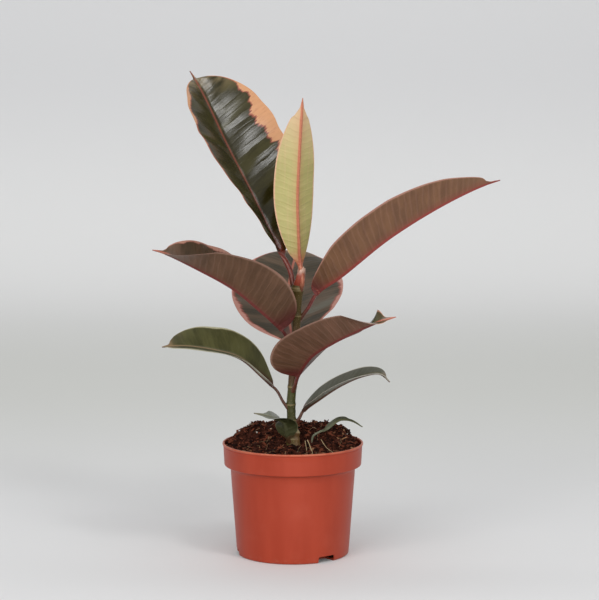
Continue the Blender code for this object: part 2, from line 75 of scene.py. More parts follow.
class Graph:
    """One node material, with short calls for the nodes that the finishes use."""

    def __init__(self, name: str) -> None:
        """Start a material that holds only a Principled shader and its output.

        Args:
            name: the material's name.
        """
        self.material = bpy.data.materials.new(name)
        self.material.use_nodes = True
        self.tree = self.material.node_tree
        self.tree.nodes.clear()
        self.shader = self.tree.nodes.new("ShaderNodeBsdfPrincipled")
        output = self.tree.nodes.new("ShaderNodeOutputMaterial")
        self.tree.links.new(self.shader.outputs["BSDF"], output.inputs["Surface"])

    def add(self, kind: str, **values: object) -> bpy.types.Node:
        """Add a node and set its properties.

        Args:
            kind: the node's type.
            **values: properties to set on it.

        Returns:
            The new node.
        """
        node = self.tree.nodes.new(kind)
        for key, value in values.items():
            setattr(node, key, value)
        return node

    def feed(self, socket: Socket, value: Value) -> None:
        """Link a socket to an output, or set its value.

        Args:
            socket: the input to fill.
            value: an output socket, a number or a colour.
        """
        if isinstance(value, Socket):
            self.tree.links.new(value, socket)
        elif socket.type == "RGBA" and isinstance(value, tuple) and len(value) == 3:
            socket.default_value = (*value, 1.0)
        else:
            socket.default_value = value

    def math(self, operation: str, first: Value, second: Value = 0.0) -> Socket:
        """Combine two numbers.

        Args:
            operation: the Math node's operation.
            first: first number or output.
            second: second number or output.

        Returns:
            The result's socket.
        """
        node = self.add("ShaderNodeMath", operation=operation)
        self.feed(node.inputs[0], first)
        self.feed(node.inputs[1], second)
        return node.outputs[0]

    def plus(self, first: Value, second: Value) -> Socket:
        """The sum of two numbers."""
        return self.math("ADD", first, second)

    def minus(self, first: Value, second: Value) -> Socket:
        """The first number less the second."""
        return self.math("SUBTRACT", first, second)

    def times(self, first: Value, second: Value) -> Socket:
        """The product of two numbers."""
        return self.math("MULTIPLY", first, second)

    def mix(self, share: Value, first: Value, second: Value) -> Socket:
        """Mix two colours.

        Args:
            share: how much of the second colour shows.
            first: first colour or output.
            second: second colour or output.

        Returns:
            The mixed colour's socket.
        """
        node = self.add("ShaderNodeMix", data_type="RGBA")
        self.feed(node.inputs[0], share)
        self.feed(node.inputs[6], first)
        self.feed(node.inputs[7], second)
        return node.outputs[2]

    def span(self, value: Socket, low: float, high: float, start: float = 0.0, end: float = 1.0) -> Socket:
        """Map a number smoothly from one range to another, clamped.

        Args:
            value: the number's socket.
            low: value that gives start.
            high: value that gives end.
            start: result at low.
            end: result at high.

        Returns:
            The mapped number's socket.
        """
        node = self.add("ShaderNodeMapRange", interpolation_type="SMOOTHSTEP", clamp=True)
        self.feed(node.inputs["Value"], value)
        for name, number in (("From Min", low), ("From Max", high), ("To Min", start), ("To Max", end)):
            node.inputs[name].default_value = number
        return node.outputs["Result"]

    def noise(self, where: Socket, scale: float, detail: float = 3.0, rough: float = 0.55) -> Socket:
        """Noise value from 0 to 1 at a place.

        Args:
            where: the place's vector socket.
            scale: noise cells per unit.
            detail: octaves.
            rough: weight of the finer octaves.

        Returns:
            The noise value's socket.
        """
        node = self.add("ShaderNodeTexNoise")
        self.feed(node.inputs["Vector"], where)
        for name, number in (("Scale", scale), ("Detail", detail), ("Roughness", rough)):
            node.inputs[name].default_value = number
        return node.outputs["Fac"]

    def place(self) -> Socket:
        """Object coordinates in metres."""
        return self.add("ShaderNodeTexCoord").outputs["Object"]

    def parts(self, vector: Socket) -> tuple[Socket, Socket, Socket]:
        """Take a vector apart.

        Args:
            vector: the vector's socket.

        Returns:
            Its three numbers.
        """
        node = self.add("ShaderNodeSeparateXYZ")
        self.feed(node.inputs[0], vector)
        return node.outputs[0], node.outputs[1], node.outputs[2]

    def join(self, first: Value, second: Value, third: Value = 0.0) -> Socket:
        """Make a vector from three numbers.

        Args:
            first: number along X.
            second: number along Y.
            third: number along Z.

        Returns:
            The vector's socket.
        """
        node = self.add("ShaderNodeCombineXYZ")
        for socket, value in zip(node.inputs, (first, second, third)):
            self.feed(socket, value)
        return node.outputs[0]

    def stretch(self, vector: Socket, scales: Point) -> Socket:
        """Scale each number of a vector by its own factor.

        Args:
            vector: the vector's socket.
            scales: the three factors.

        Returns:
            The scaled vector's socket.
        """
        node = self.add("ShaderNodeVectorMath", operation="MULTIPLY")
        self.feed(node.inputs[0], vector)
        node.inputs[1].default_value = scales
        return node.outputs[0]

    def drift(self, first: Socket, second: Socket, third: Value, scales: tuple[float, float],
              detail: float = 3.0, rough: float = 0.55) -> Socket:
        """Noise that follows two measures of a piece, stretched by its scales.

        Args:
            first: first measure.
            second: second measure.
            third: a number that sets this pattern apart from others.
            scales: noise cells per metre along the two measures.
            detail: octaves.
            rough: weight of the finer octaves.

        Returns:
            The noise value's socket.
        """
        where = self.join(self.times(first, scales[0]), self.times(second, scales[1]), third)
        return self.noise(where, 1.0, detail, rough)

    def metric(self) -> tuple[Socket, Socket, Socket]:
        """The three numbers that a piece keeps on each of its points."""
        return self.parts(self.add("ShaderNodeAttribute", attribute_name="metric").outputs["Vector"])

    def bump(self, height: Socket, distance: float, strength: float = 1.0,
             under: Socket | None = None) -> Socket:
        """Bump from a height.

        Args:
            height: the height's socket, from 0 to 1.
            distance: real height of 1, in metres.
            strength: share of the bump that shows.
            under: a normal that this bump goes on.

        Returns:
            The normal's socket.
        """
        node = self.add("ShaderNodeBump")
        self.feed(node.inputs["Height"], height)
        node.inputs["Distance"].default_value = distance
        node.inputs["Strength"].default_value = strength
        if under is not None:
            self.feed(node.inputs["Normal"], under)
        return node.outputs["Normal"]

    def finish(self, **inputs: Value) -> bpy.types.Material:
        """Fill the Principled shader's inputs.

        Args:
            **inputs: input names with _ for spaces, each with an output or a value.

        Returns:
            The finished material.
        """
        for key, value in inputs.items():
            self.feed(self.shader.inputs[key.replace("_", " ")], value)
        return self.material


@dataclass
class Sleeve:
    """A grid of rows along a shape and columns round it, closed on itself."""

    rows: int
    columns: int
    open_ends: bool = False
    merge: float = 0.000002

    def build(self, place: Callable[[int, int], Vector], metric: Callable[[int, int], Point] | None = None,
              choose: Callable[[float, float], int] | None = None) -> bmesh.types.BMesh:
        """Wrap the grid.

        Args:
            place: gives the point of a row and a column.
            metric: gives the values kept on each point as the attribute "metric".
            choose: gives a face's material slot from its row and column.

        Returns:
            The wrapped grid, with doubles merged, ends filled and normals outward.
        """
        bm = bmesh.new()
        bmesh.ops.create_grid(bm, x_segments=self.rows - 1, y_segments=self.columns, size=1.0)
        uv = bm.loops.layers.uv.new("UVMap")
        store = bm.verts.layers.float_vector.new("metric")
        spot: dict[bmesh.types.BMVert, tuple[int, int]] = {}
        for vert in bm.verts:
            row = round((vert.co.x + 1.0) / 2.0 * (self.rows - 1))
            column = round((vert.co.y + 1.0) / 2.0 * self.columns)
            spot[vert] = (row, column)
        for face in bm.faces:
            for loop in face.loops:
                row, column = spot[loop.vert]
                loop[uv].uv = (column / self.columns, row / (self.rows - 1))
            if choose is not None:
                middle = [sum(spot[v][axis] for v in face.verts) / len(face.verts) for axis in (0, 1)]
                face.material_index = choose(middle[0], middle[1])
        for vert, (row, column) in spot.items():
            if metric is not None:
                vert[store] = metric(row, column % self.columns)
            vert.co = place(row, column % self.columns)
        bmesh.ops.remove_doubles(bm, verts=bm.verts, dist=self.merge)
        if not self.open_ends:
            bmesh.ops.holes_fill(bm, edges=[e for e in bm.edges if e.is_boundary], sides=0)
        bmesh.ops.recalc_face_normals(bm, faces=bm.faces)
        return bm


def add_piece(name: str, bm: bmesh.types.BMesh, finishes: Sequence[bpy.types.Material],
              slot: str | None, nodes: Sequence[str] = (), sharp: float = 50.0) -> bpy.types.Object:
    """Turn a bmesh into a piece of the object.

    Args:
        name: the piece's name.
        bm: the finished mesh, which is freed.
        finishes: materials in slot order.
        slot: the record's material slot, whose name is not stored here; None marks a piece of the set.
        nodes: CAD nodes that the piece stands for.
        sharp: angle in degrees past which an edge stays sharp.

    Returns:
        The new object.
    """
    mesh = bpy.data.meshes.new(name)
    bm.to_mesh(mesh)
    bm.free()
    for finish in finishes:
        mesh.materials.append(finish)
    mesh.shade_smooth()
    mesh.set_sharp_from_angle(angle=radians(sharp))
    piece = bpy.data.objects.new(name, mesh)
    bpy.context.scene.collection.objects.link(piece)
    if slot is not None:
        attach(piece, "root")
        if nodes:
            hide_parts(*nodes)
        LOG.info("%s: %d faces", name, len(mesh.polygons))
    return piece


def smooth_line(points: Sequence[Vector], steps: int) -> list[Vector]:
    """Points along a smooth curve through the given ones.

    Args:
        points: the points to pass through.
        steps: steps between each two of them.

    Returns:
        The curve's points.
    """
    ends = [2 * points[0] - points[1]] + list(points) + [2 * points[-1] - points[-2]]
    knots = [0.0]
    for before, after in zip(ends, ends[1:]):
        knots.append(knots[-1] + (after - before).length ** 0.5)
    line = []
    for index in range(1, len(ends) - 2):
        a, b, c, d = ends[index - 1:index + 3]
        ka, kb, kc, kd = knots[index - 1:index + 3]
        gap = kc - kb
        leave = ((b - a) / (kb - ka) - (c - a) / (kc - ka) + (c - b) / gap) * gap
        arrive = ((c - b) / gap - (d - b) / (kd - kb) + (d - c) / (kd - kc)) * gap
        for step in range(steps):
            u = step / steps
            line.append(b * (2 * u ** 3 - 3 * u ** 2 + 1) + leave * (u ** 3 - 2 * u ** 2 + u)
                        + c * (3 * u ** 2 - 2 * u ** 3) + arrive * (u ** 3 - u ** 2))
    return line + [points[-1]]


def stepped(values: Sequence[float | Vector], share: float) -> float | Vector:
    """Value part of the way along a row of even steps.

    Args:
        values: numbers or vectors.
        share: 0 at the first, 1 at the last.

    Returns:
        The value between its two neighbours.
    """
    place = min(max(share, 0.0), 1.0) * (len(values) - 1)
    index = min(int(place), len(values) - 2)
    rest = place - index
    return values[index] * (1.0 - rest) + values[index + 1] * rest


def pulse(distance: float, reach: float) -> float:
    """A smooth hump of height 1 that fades to nothing at its reach."""
    return max(1.0 - (distance / reach) ** 2, 0.0) ** 2


# ---------------------------------------------------------------- finishes


@dataclass(frozen=True)
class LeafFinish:
    """How one leaf is coloured: a glossy upper side with a pale edge, and a satin underside.

    Widths and reaches on the blade are in metres, edge widths are shares of the half width, and
    scales are noise cells per metre along and across the leaf.
    """

    dark: Colour = (0.020, 0.030, 0.007)
    mid: Colour = (0.055, 0.062, 0.020)
    grey: Colour = (0.110, 0.125, 0.085)
    edge: Colour = (0.78, 0.50, 0.32)
    blush: Colour = (0.30, 0.085, 0.060)
    rib: Colour = (0.42, 0.13, 0.085)
    under: Colour = (0.165, 0.088, 0.060)
    under_dark: Colour = (0.095, 0.050, 0.033)
    under_edge: Colour = (0.50, 0.30, 0.24)
    under_rib: Colour = (0.30, 0.045, 0.035)
    stalk: Colour = (0.17, 0.030, 0.022)
    stalk_foot: Colour = (0.085, 0.030, 0.014)
    tip: Colour = (0.30, 0.16, 0.10)
    edge_width: tuple[float, float] = (0.10, 0.12)
    edge_wander: float = 1.2
    vein_show: float = 0.07
    lengthwise: float = 0.04
    rib_glow: float = 0.22
    tip_start: float = 0.72
    crown: Colour = (0.20, 0.13, 0.07)
    ior: float = 1.42
    under_edge_width: float = 0.045
    gloss: float = 0.20
    vein_gap: float = 0.0052
    vein_slant: float = 0.32
    halves_apart: float = 3.7
    patch_scales: tuple[float, float] = (62.0, 16.0)
    fine_scales: tuple[float, float] = (900.0, 120.0)
    margin_scales: tuple[float, float] = (75.0, 10.0)
    broad_scale: float = 24.0
    cloud_scales: tuple[float, float] = (120.0, 30.0)
    line_scales: tuple[float, float] = (520.0, 14.0)
    wobble_scales: tuple[float, float] = (160.0, 60.0)
    groove_line: tuple[float, float] = (0.0016, 0.0006)
    groove_reach: float = 0.0030
    rib_line: tuple[float, float] = (0.0021, 0.0012)
    rib_shade: tuple[float, float] = (0.009, 0.001)
    upper_foot: tuple[float, float] = (0.038, 0.002)
    upper_foot_width: tuple[float, float] = (0.0065, 0.0010)
    under_foot: tuple[float, float] = (0.018, 0.003)
    stalk_fade: tuple[float, float] = (0.014, 0.005)

    def upper(self, name: str, seed: float) -> bpy.types.Material:
        """The glossy upper side.

        Args:
            name: the leaf's name.
            seed: a number that sets this leaf's pattern apart.

        Returns:
            The material.
        """
        g = Graph(name + "_upper")
        across, along, out = self._metric(g)
        row = g.minus(along, g.times(across, self.vein_slant))
        side = g.times(g.math("SIGN", g.metric()[0]), self.halves_apart)
        patches = g.drift(row, across, g.plus(side, seed), self.patch_scales, 4.0, 0.6)
        green = g.mix(g.span(patches, 0.40, 0.60), self.dark, self.mid)
        green = g.mix(g.span(patches, 0.60, 0.72), green, self.grey)
        fine = g.drift(row, across, seed, self.fine_scales, 2.0)
        green = g.mix(g.times(g.span(fine, 0.35, 0.75), 0.35), green, self.mid)
        over = self._margin(g, row, across, out, side, seed)
        share = g.parts(g.add("ShaderNodeUVMap", uv_map="UVMap").outputs["UV"])[1]
        near_tip = g.times(g.span(share, 0.80, 0.97, 0.0, 0.9), g.span(patches, 0.35, 0.55))
        green = g.mix(near_tip, green, self.crown)
        colour = g.mix(g.span(over, -0.055, 0.005), green, self.blush)
        mottle = g.mix(g.span(fine, 0.50, 0.75, 0.0, 0.35), self.edge, self.blush)
        colour = g.mix(g.span(over, -0.010, 0.020), colour, mottle)
        veins = self._veins(g, row, across)
        colour = g.mix(g.times(veins, 0.05), colour, self.grey)
        colour = g.mix(g.span(across, *self.groove_line, 0.0, 0.8), colour, self.rib)
        foot = g.times(g.span(along, *self.upper_foot), g.span(across, *self.upper_foot_width))
        colour = g.mix(foot, colour, self.stalk)
        rough = g.span(fine, 0.2, 0.8, self.gloss - 0.04, self.gloss + 0.08)
        groove = g.minus(g.span(across, 0.0, self.groove_reach), g.times(veins, 0.18))
        normal = g.bump(groove, 0.0004, 0.6, g.bump(fine, 0.00004, 0.07))
        return g.finish(Base_Color=colour, Roughness=rough, Normal=normal, IOR=self.ior)

    def below(self, name: str, seed: float) -> bpy.types.Material:
        """The satin underside with its raised rib and fine side veins.

        Args:
            name: the leaf's name.
            seed: a number that sets this leaf's pattern apart.

        Returns:
            The material.
        """
        g = Graph(name + "_under")
        across, along, out = self._metric(g)
        row = g.minus(along, g.times(across, self.vein_slant))
        cloud = g.drift(row, across, seed, self.cloud_scales, 4.0)
        veins = self._veins(g, row, across)
        colour = g.mix(g.span(cloud, 0.32, 0.68), self.under_dark, self.under)
        colour = g.mix(g.times(veins, self.vein_show), colour, self.under_edge)
        lengthwise = g.drift(across, along, seed, self.line_scales)
        colour = g.mix(g.span(lengthwise, 0.45, 0.75, 0.0, self.lengthwise), colour, self.under_edge)
        share = g.parts(g.add("ShaderNodeUVMap", uv_map="UVMap").outputs["UV"])[1]
        colour = g.mix(g.span(share, self.tip_start, 0.99, 0.0, 0.75), colour, self.tip)
        colour = g.mix(g.span(across, *self.rib_shade, 0.0, self.rib_glow), colour, self.under_rib)
        wander = g.times(g.minus(cloud, 0.5), 0.05)
        limit = g.plus(g.minus(out, 1.0 - self.under_edge_width), wander)
        colour = g.mix(g.span(limit, -0.03, 0.02), colour, self.under_edge)
        colour = g.mix(g.span(across, *self.rib_line), colour, self.under_rib)
        colour = g.mix(g.span(along, *self.under_foot, 0.0, 0.9), colour, self.stalk)
        grain = g.noise(g.place(), 2600.0, 2.0)
        normal = g.bump(veins, 0.0003, 0.5, g.bump(grain, 0.00005, 0.4))
        rough = g.span(cloud, 0.2, 0.8, 0.42, 0.56)
        return g.finish(Base_Color=colour, Roughness=rough, Normal=normal, IOR=1.36)

    def stem_side(self, name: str, length: float) -> bpy.types.Material:
        """The stalk's smooth red-brown skin with pale flecks, darker where it leaves the stem.

        Args:
            name: the leaf's name.
            length: the stalk's length.

        Returns:
            The material.
        """
        g = Graph(name + "_stalk")
        place = g.place()
        long = g.noise(place, 420.0, 3.0)
        flecks = g.span(g.noise(place, 1500.0, 1.0), 0.66, 0.74)
        colour = g.mix(g.span(long, 0.3, 0.7), self.stalk, self.under_rib)
        colour = g.mix(g.times(flecks, 0.5), colour, self.edge)
        along = g.metric()[1]
        far, near = self.stalk_fade
        colour = g.mix(g.span(along, far - length, near - length, 0.0, 0.85), colour, self.stalk_foot)
        return g.finish(Base_Color=colour, Roughness=0.38, Normal=g.bump(long, 0.0001, 0.5))

    def _metric(self, g: Graph) -> tuple[Socket, Socket, Socket]:
        """Distance from the rib, distance along the blade, and share of the half width."""
        from_rib, along, out = g.metric()
        return g.math("ABSOLUTE", from_rib), along, out

    def _margin(self, g: Graph, row: Socket, across: Socket, out: Socket, side: Socket,
                seed: float) -> Socket:
        """The pale edge's ragged line.

        Args:
            g: the material's graph.
            row: place along the leaf, measured along the side veins.
            across: distance from the rib.
            out: share of the half width.
            side: a number above 0 on one half and below 0 on the other.
            seed: a number that sets this leaf's pattern apart.

        Returns:
            How far a point is beyond the line where the pale edge starts, in half widths.
        """
        wander = g.drift(row, across, g.plus(side, seed + 9.0), self.margin_scales, 5.0, 0.65)
        broad = g.noise(g.join(g.times(row, self.broad_scale), side, seed + 3.0), 1.0, 1.0)
        left, right = self.edge_width
        width = g.plus(left, g.times(g.math("GREATER_THAN", side, 0.0), right - left))
        ragged = g.plus(g.times(g.minus(wander, 0.5), self.edge_wander * 3.0),
                        g.times(g.minus(broad, 0.5), self.edge_wander * 4.0))
        width = g.times(width, g.math("MAXIMUM", g.plus(1.0, ragged), 0.3))
        return g.plus(g.minus(out, 1.0), width)

    def _veins(self, g: Graph, row: Socket, across: Socket) -> Socket:
        """Thin side veins that leave the rib at a slant.

        Args:
            g: the material's graph.
            row: place along the leaf, measured along the side veins.
            across: distance from the rib.

        Returns:
            1 on a vein and 0 between them.
        """
        wobble = g.drift(row, across, 0.0, self.wobble_scales, 1.0)
        shifted = g.plus(row, g.times(wobble, self.vein_gap * 0.9))
        phase = g.math("FRACT", g.math("DIVIDE", shifted, self.vein_gap))
        near = g.math("ABSOLUTE", g.minus(phase, 0.5))
        return g.span(near, 0.26, 0.0)


@dataclass(frozen=True)
class StemFinish:
    """Young bark: green above the soil, browner higher up, with pale rings and dots."""

    foot: Colour = (0.100, 0.066, 0.019)
    green: Colour = (0.054, 0.056, 0.015)
    brown: Colour = (0.088, 0.040, 0.020)
    top: Colour = (0.088, 0.058, 0.015)
    ring: Colour = (0.24, 0.18, 0.085)
    dry: Colour = (0.110, 0.058, 0.020)
    cream: Colour = (0.30, 0.23, 0.12)
    shade: Colour = (0.035, 0.028, 0.010)
    streak_scales: Point = (900.0, 900.0, 110.0)
    green_from: tuple[float, float] = (0.10, 0.22)
    brown_from: tuple[float, float] = (0.34, 0.44)
    top_from: tuple[float, float] = (0.68, 0.80)

    def material(self, low: float, high: float) -> bpy.types.Material:
        """The bark.

        Args:
            low: height of the soil in front of the stem.
            high: height of the stem's top.

        Returns:
            The material.
        """
        g = Graph("stem_bark")
        place = g.place()
        z = g.parts(place)[2]
        height = high - low
        colour = self.foot
        for (start, end), tone in ((self.green_from, self.green), (self.brown_from, self.brown),
                                   (self.top_from, self.top)):
            colour = g.mix(g.span(z, low + start * height, low + end * height), colour, tone)
        streaks = g.noise(g.stretch(place, self.streak_scales), 1.0, 4.0, 0.6)
        colour = g.mix(g.span(streaks, 0.25, 0.75, 0.45, 0.0), colour, self.shade)
        marks, stub, cap = g.metric()
        colour = g.mix(g.span(marks, 0.25, 0.9, 0.0, 0.75), colour, self.ring)
        colour = g.mix(g.span(stub, 0.10, 0.45, 0.0, 0.85), colour, self.dry)
        colour = g.mix(g.span(cap, 0.25, 0.60), colour, self.cream)
        dots = g.span(g.noise(place, 1100.0, 0.0), 0.70, 0.76, 0.0, 0.7)
        colour = g.mix(dots, colour, self.ring)
        height_map = g.plus(g.times(streaks, 0.7), g.times(dots, 0.6))
        rough = g.span(streaks, 0.2, 0.8, 0.38, 0.6)
        return g.finish(Base_Color=colour, Roughness=rough, Normal=g.bump(height_map, 0.0003, 0.7), IOR=1.3)


@dataclass(frozen=True)
class BudFinish:
    """The bud's sheath: red at its foot, pale and papery towards its torn tip."""

    red: Colour = (0.28, 0.048, 0.026)
    pale: Colour = (0.62, 0.40, 0.31)
    dry: Colour = (0.24, 0.12, 0.07)
    grain_scales: Point = (1400.0, 1400.0, 160.0)
    pale_from: tuple[float, float] = (0.36, 0.68)

    def material(self, low: float, high: float) -> bpy.types.Material:
        """The sheath's skin.

        Args:
            low: height where it starts.
            high: height where it ends.

        Returns:
            The material.
        """
        g = Graph("bud_skin")
        place = g.place()
        z = g.parts(place)[2]
        long = g.noise(g.stretch(place, self.grain_scales), 1.0, 3.0)
        start, end = (low + share * (high - low) for share in self.pale_from)
        colour = g.mix(g.span(z, start, end), self.red, self.pale)
        colour = g.mix(g.span(long, 0.52, 0.72, 0.0, 0.7), colour, self.dry)
        return g.finish(Base_Color=colour, Roughness=0.42, Normal=g.bump(long, 0.0002, 0.6))


@dataclass(frozen=True)
class PotFinish:
    """Satin moulded plastic in a terracotta colour, with soft scuffs, a little dried dust and a lighter lip that
    is part wear, part painted highlight.
    """

    base: Colour = (0.325, 0.040, 0.016)
    pale: Colour = (0.37, 0.064, 0.034)
    deep: Colour = (0.280, 0.031, 0.011)
    dust: Colour = (0.36, 0.20, 0.13)
    # Lighter lip tone: part wear, part painted highlight.
    lip_wear_and_highlight: Colour = (0.45, 0.13, 0.070)
    inside: Colour = (0.10, 0.030, 0.020)
    flow_scales: Point = (60.0, 60.0, 7.0)
    scuff_scales: Point = (140.0, 140.0, 900.0)
    lip_wear_and_highlight_band: tuple[float, float] = (0.0022, 0.0004)
    dust_height: float = 0.006
    middle_at_foot: float = 0.0470
    middle_spread: float = 0.0071
    band_from: float = 0.79
    band_step: float = 0.0044

    def material(self, rim: float) -> bpy.types.Material:
        """The plastic.

        Args:
            rim: height of the lip.

        Returns:
            The material.
        """
        g = Graph("pot_plastic")
        place = g.place()
        x, y, z = g.parts(place)
        flow = g.noise(g.stretch(place, self.flow_scales), 1.0, 4.0, 0.5)
        colour = g.mix(g.span(flow, 0.30, 0.70), self.deep, self.base)
        colour = g.mix(g.span(g.noise(place, 34.0, 3.0), 0.50, 0.75, 0.0, 0.30), colour, self.pale)
        scuff = g.noise(g.stretch(place, self.scuff_scales), 1.0, 5.0, 0.7)
        scratches = g.span(scuff, 0.66, 0.80, 0.0, 0.35)
        colour = g.mix(scratches, colour, self.pale)
        # Lighter band round the top of the lip: part wear, part painted highlight.
        low, high = self.lip_wear_and_highlight_band
        lip_wear_and_highlight = g.times(g.span(z, rim - low, rim - high),
                       g.span(g.noise(place, 160.0, 4.0), 0.30, 0.55, 0.35, 0.85))
        colour = g.mix(lip_wear_and_highlight, colour, self.lip_wear_and_highlight)
        dirt = g.times(g.span(z, self.dust_height, 0.0, 0.0, 0.22),
                       g.span(g.noise(place, 260.0, 5.0), 0.45, 0.65))
        colour = g.mix(dirt, colour, self.dust)
        inside = g.span(self._radius(g, x, y, z, rim), -0.0004, 0.0006, 0.35, 0.0)
        colour = g.mix(inside, colour, self.inside)
        peel = g.noise(place, 1500.0, 2.0)
        rough = g.plus(g.span(flow, 0.2, 0.8, 0.34, 0.44), g.times(scratches, 0.3))
        height = g.plus(g.times(peel, 0.4), g.times(scratches, -0.8))
        return g.finish(Base_Color=colour, Roughness=rough, Normal=g.bump(height, 0.00008, 0.7), IOR=1.33)

    def _radius(self, g: Graph, x: Socket, y: Socket, z: Socket, rim: float) -> Socket:
        """How far a point is outside the middle of the wall, so that the inside can be darker.

        Args:
            g: the material's graph.
            x: the point's first coordinate.
            y: its second coordinate.
            z: its height.
            rim: height of the lip.

        Returns:
            The distance, below 0 on the inside.
        """
        flat = g.math("SQRT", g.plus(g.times(x, x), g.times(y, y)))
        slope = g.times(g.math("DIVIDE", z, rim), self.middle_spread)
        band = g.times(g.math("GREATER_THAN", z, rim * self.band_from), self.band_step)
        return g.minus(flat, g.plus(g.plus(self.middle_at_foot, slope), band))


@dataclass(frozen=True)
class SoilFinish:
    """Dark potting mix: a ground colour and the tones of its loose bits."""

    dark: Colour = (0.009, 0.003, 0.002)
    brown: Colour = (0.060, 0.017, 0.009)
    red: Colour = (0.185, 0.052, 0.026)
    tan: Colour = (0.34, 0.17, 0.085)
    pale: Colour = (0.66, 0.60, 0.52)

    def ground(self) -> bpy.types.Material:
        """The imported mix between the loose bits.

        Returns:
            The material.
        """
        g = Graph("soil_ground")
        place = g.place()
        coarse = g.noise(place, 330.0, 6.0, 0.7)
        fine = g.noise(place, 1400.0, 4.0, 0.7)
        colour = g.mix(g.span(coarse, 0.35, 0.68), self.dark, self.brown)
        colour = g.mix(g.span(fine, 0.60, 0.72, 0.0, 0.5), colour, self.red)
        height = g.plus(coarse, g.times(fine, 0.4))
        return g.finish(Base_Color=colour, Roughness=0.95, Normal=g.bump(height, 0.0012, 0.9), IOR=1.15)

    def bits(self) -> bpy.types.Material:
        """The loose bits, each with its own tone kept on its points.

        Returns:
            The material.
        """
        g = Graph("soil_bits")
        place = g.place()
        tone = g.metric()[0]
        colour = g.mix(g.span(tone, 0.0, 0.55), self.dark, self.brown)
        colour = g.mix(g.span(tone, 0.55, 0.86), colour, self.red)
        colour = g.mix(g.span(tone, 0.955, 0.985), colour, self.tan)
        colour = g.mix(g.span(tone, 0.994, 0.996), colour, self.pale)
        grain = g.noise(place, 1800.0, 4.0, 0.7)
        colour = g.mix(g.span(grain, 0.35, 0.7, 0.4, 0.0), colour, self.dark)
        return g.finish(Base_Color=colour, Roughness=0.85, Normal=g.bump(grain, 0.0003, 0.8), IOR=1.2)


@dataclass(frozen=True)
class StrawFinish:
    """Dry straw and root strands."""

    light: Colour = (0.52, 0.40, 0.22)
    dark: Colour = (0.20, 0.11, 0.05)

    def material(self, name: str, darker: float) -> bpy.types.Material:
        """The strand's skin.

        Args:
            name: the material's name.
            darker: share of the dark tone.

        Returns:
            The material.
        """
        g = Graph(name)
        place = g.place()
        grain = g.noise(place, 900.0, 3.0)
        colour = g.mix(g.span(grain, 0.3, 0.7, darker * 0.5, min(darker + 0.4, 1.0)), self.light, self.dark)
        return g.finish(Base_Color=colour, Roughness=0.7, Normal=g.bump(grain, 0.0001, 0.6))


# ---------------------------------------------------------------- sizes taken from the frame

POT_LOW, POT_HIGH = (Vector(corner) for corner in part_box("pot"))
POT_HEIGHT = POT_HIGH.z - POT_LOW.z
RIM_RADIUS = (POT_HIGH.x - POT_LOW.x) / 2
SOIL_LEVEL = POT_HIGH.z - 0.0065
STEM_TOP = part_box("stem")[1][2]


@dataclass(frozen=True)
class Straw:
    """Where one dry straw lies, how far it arches up at its near end, and how thick it is."""

    start: tuple[float, float]
    end: tuple[float, float]
    arch: float
    radius: float


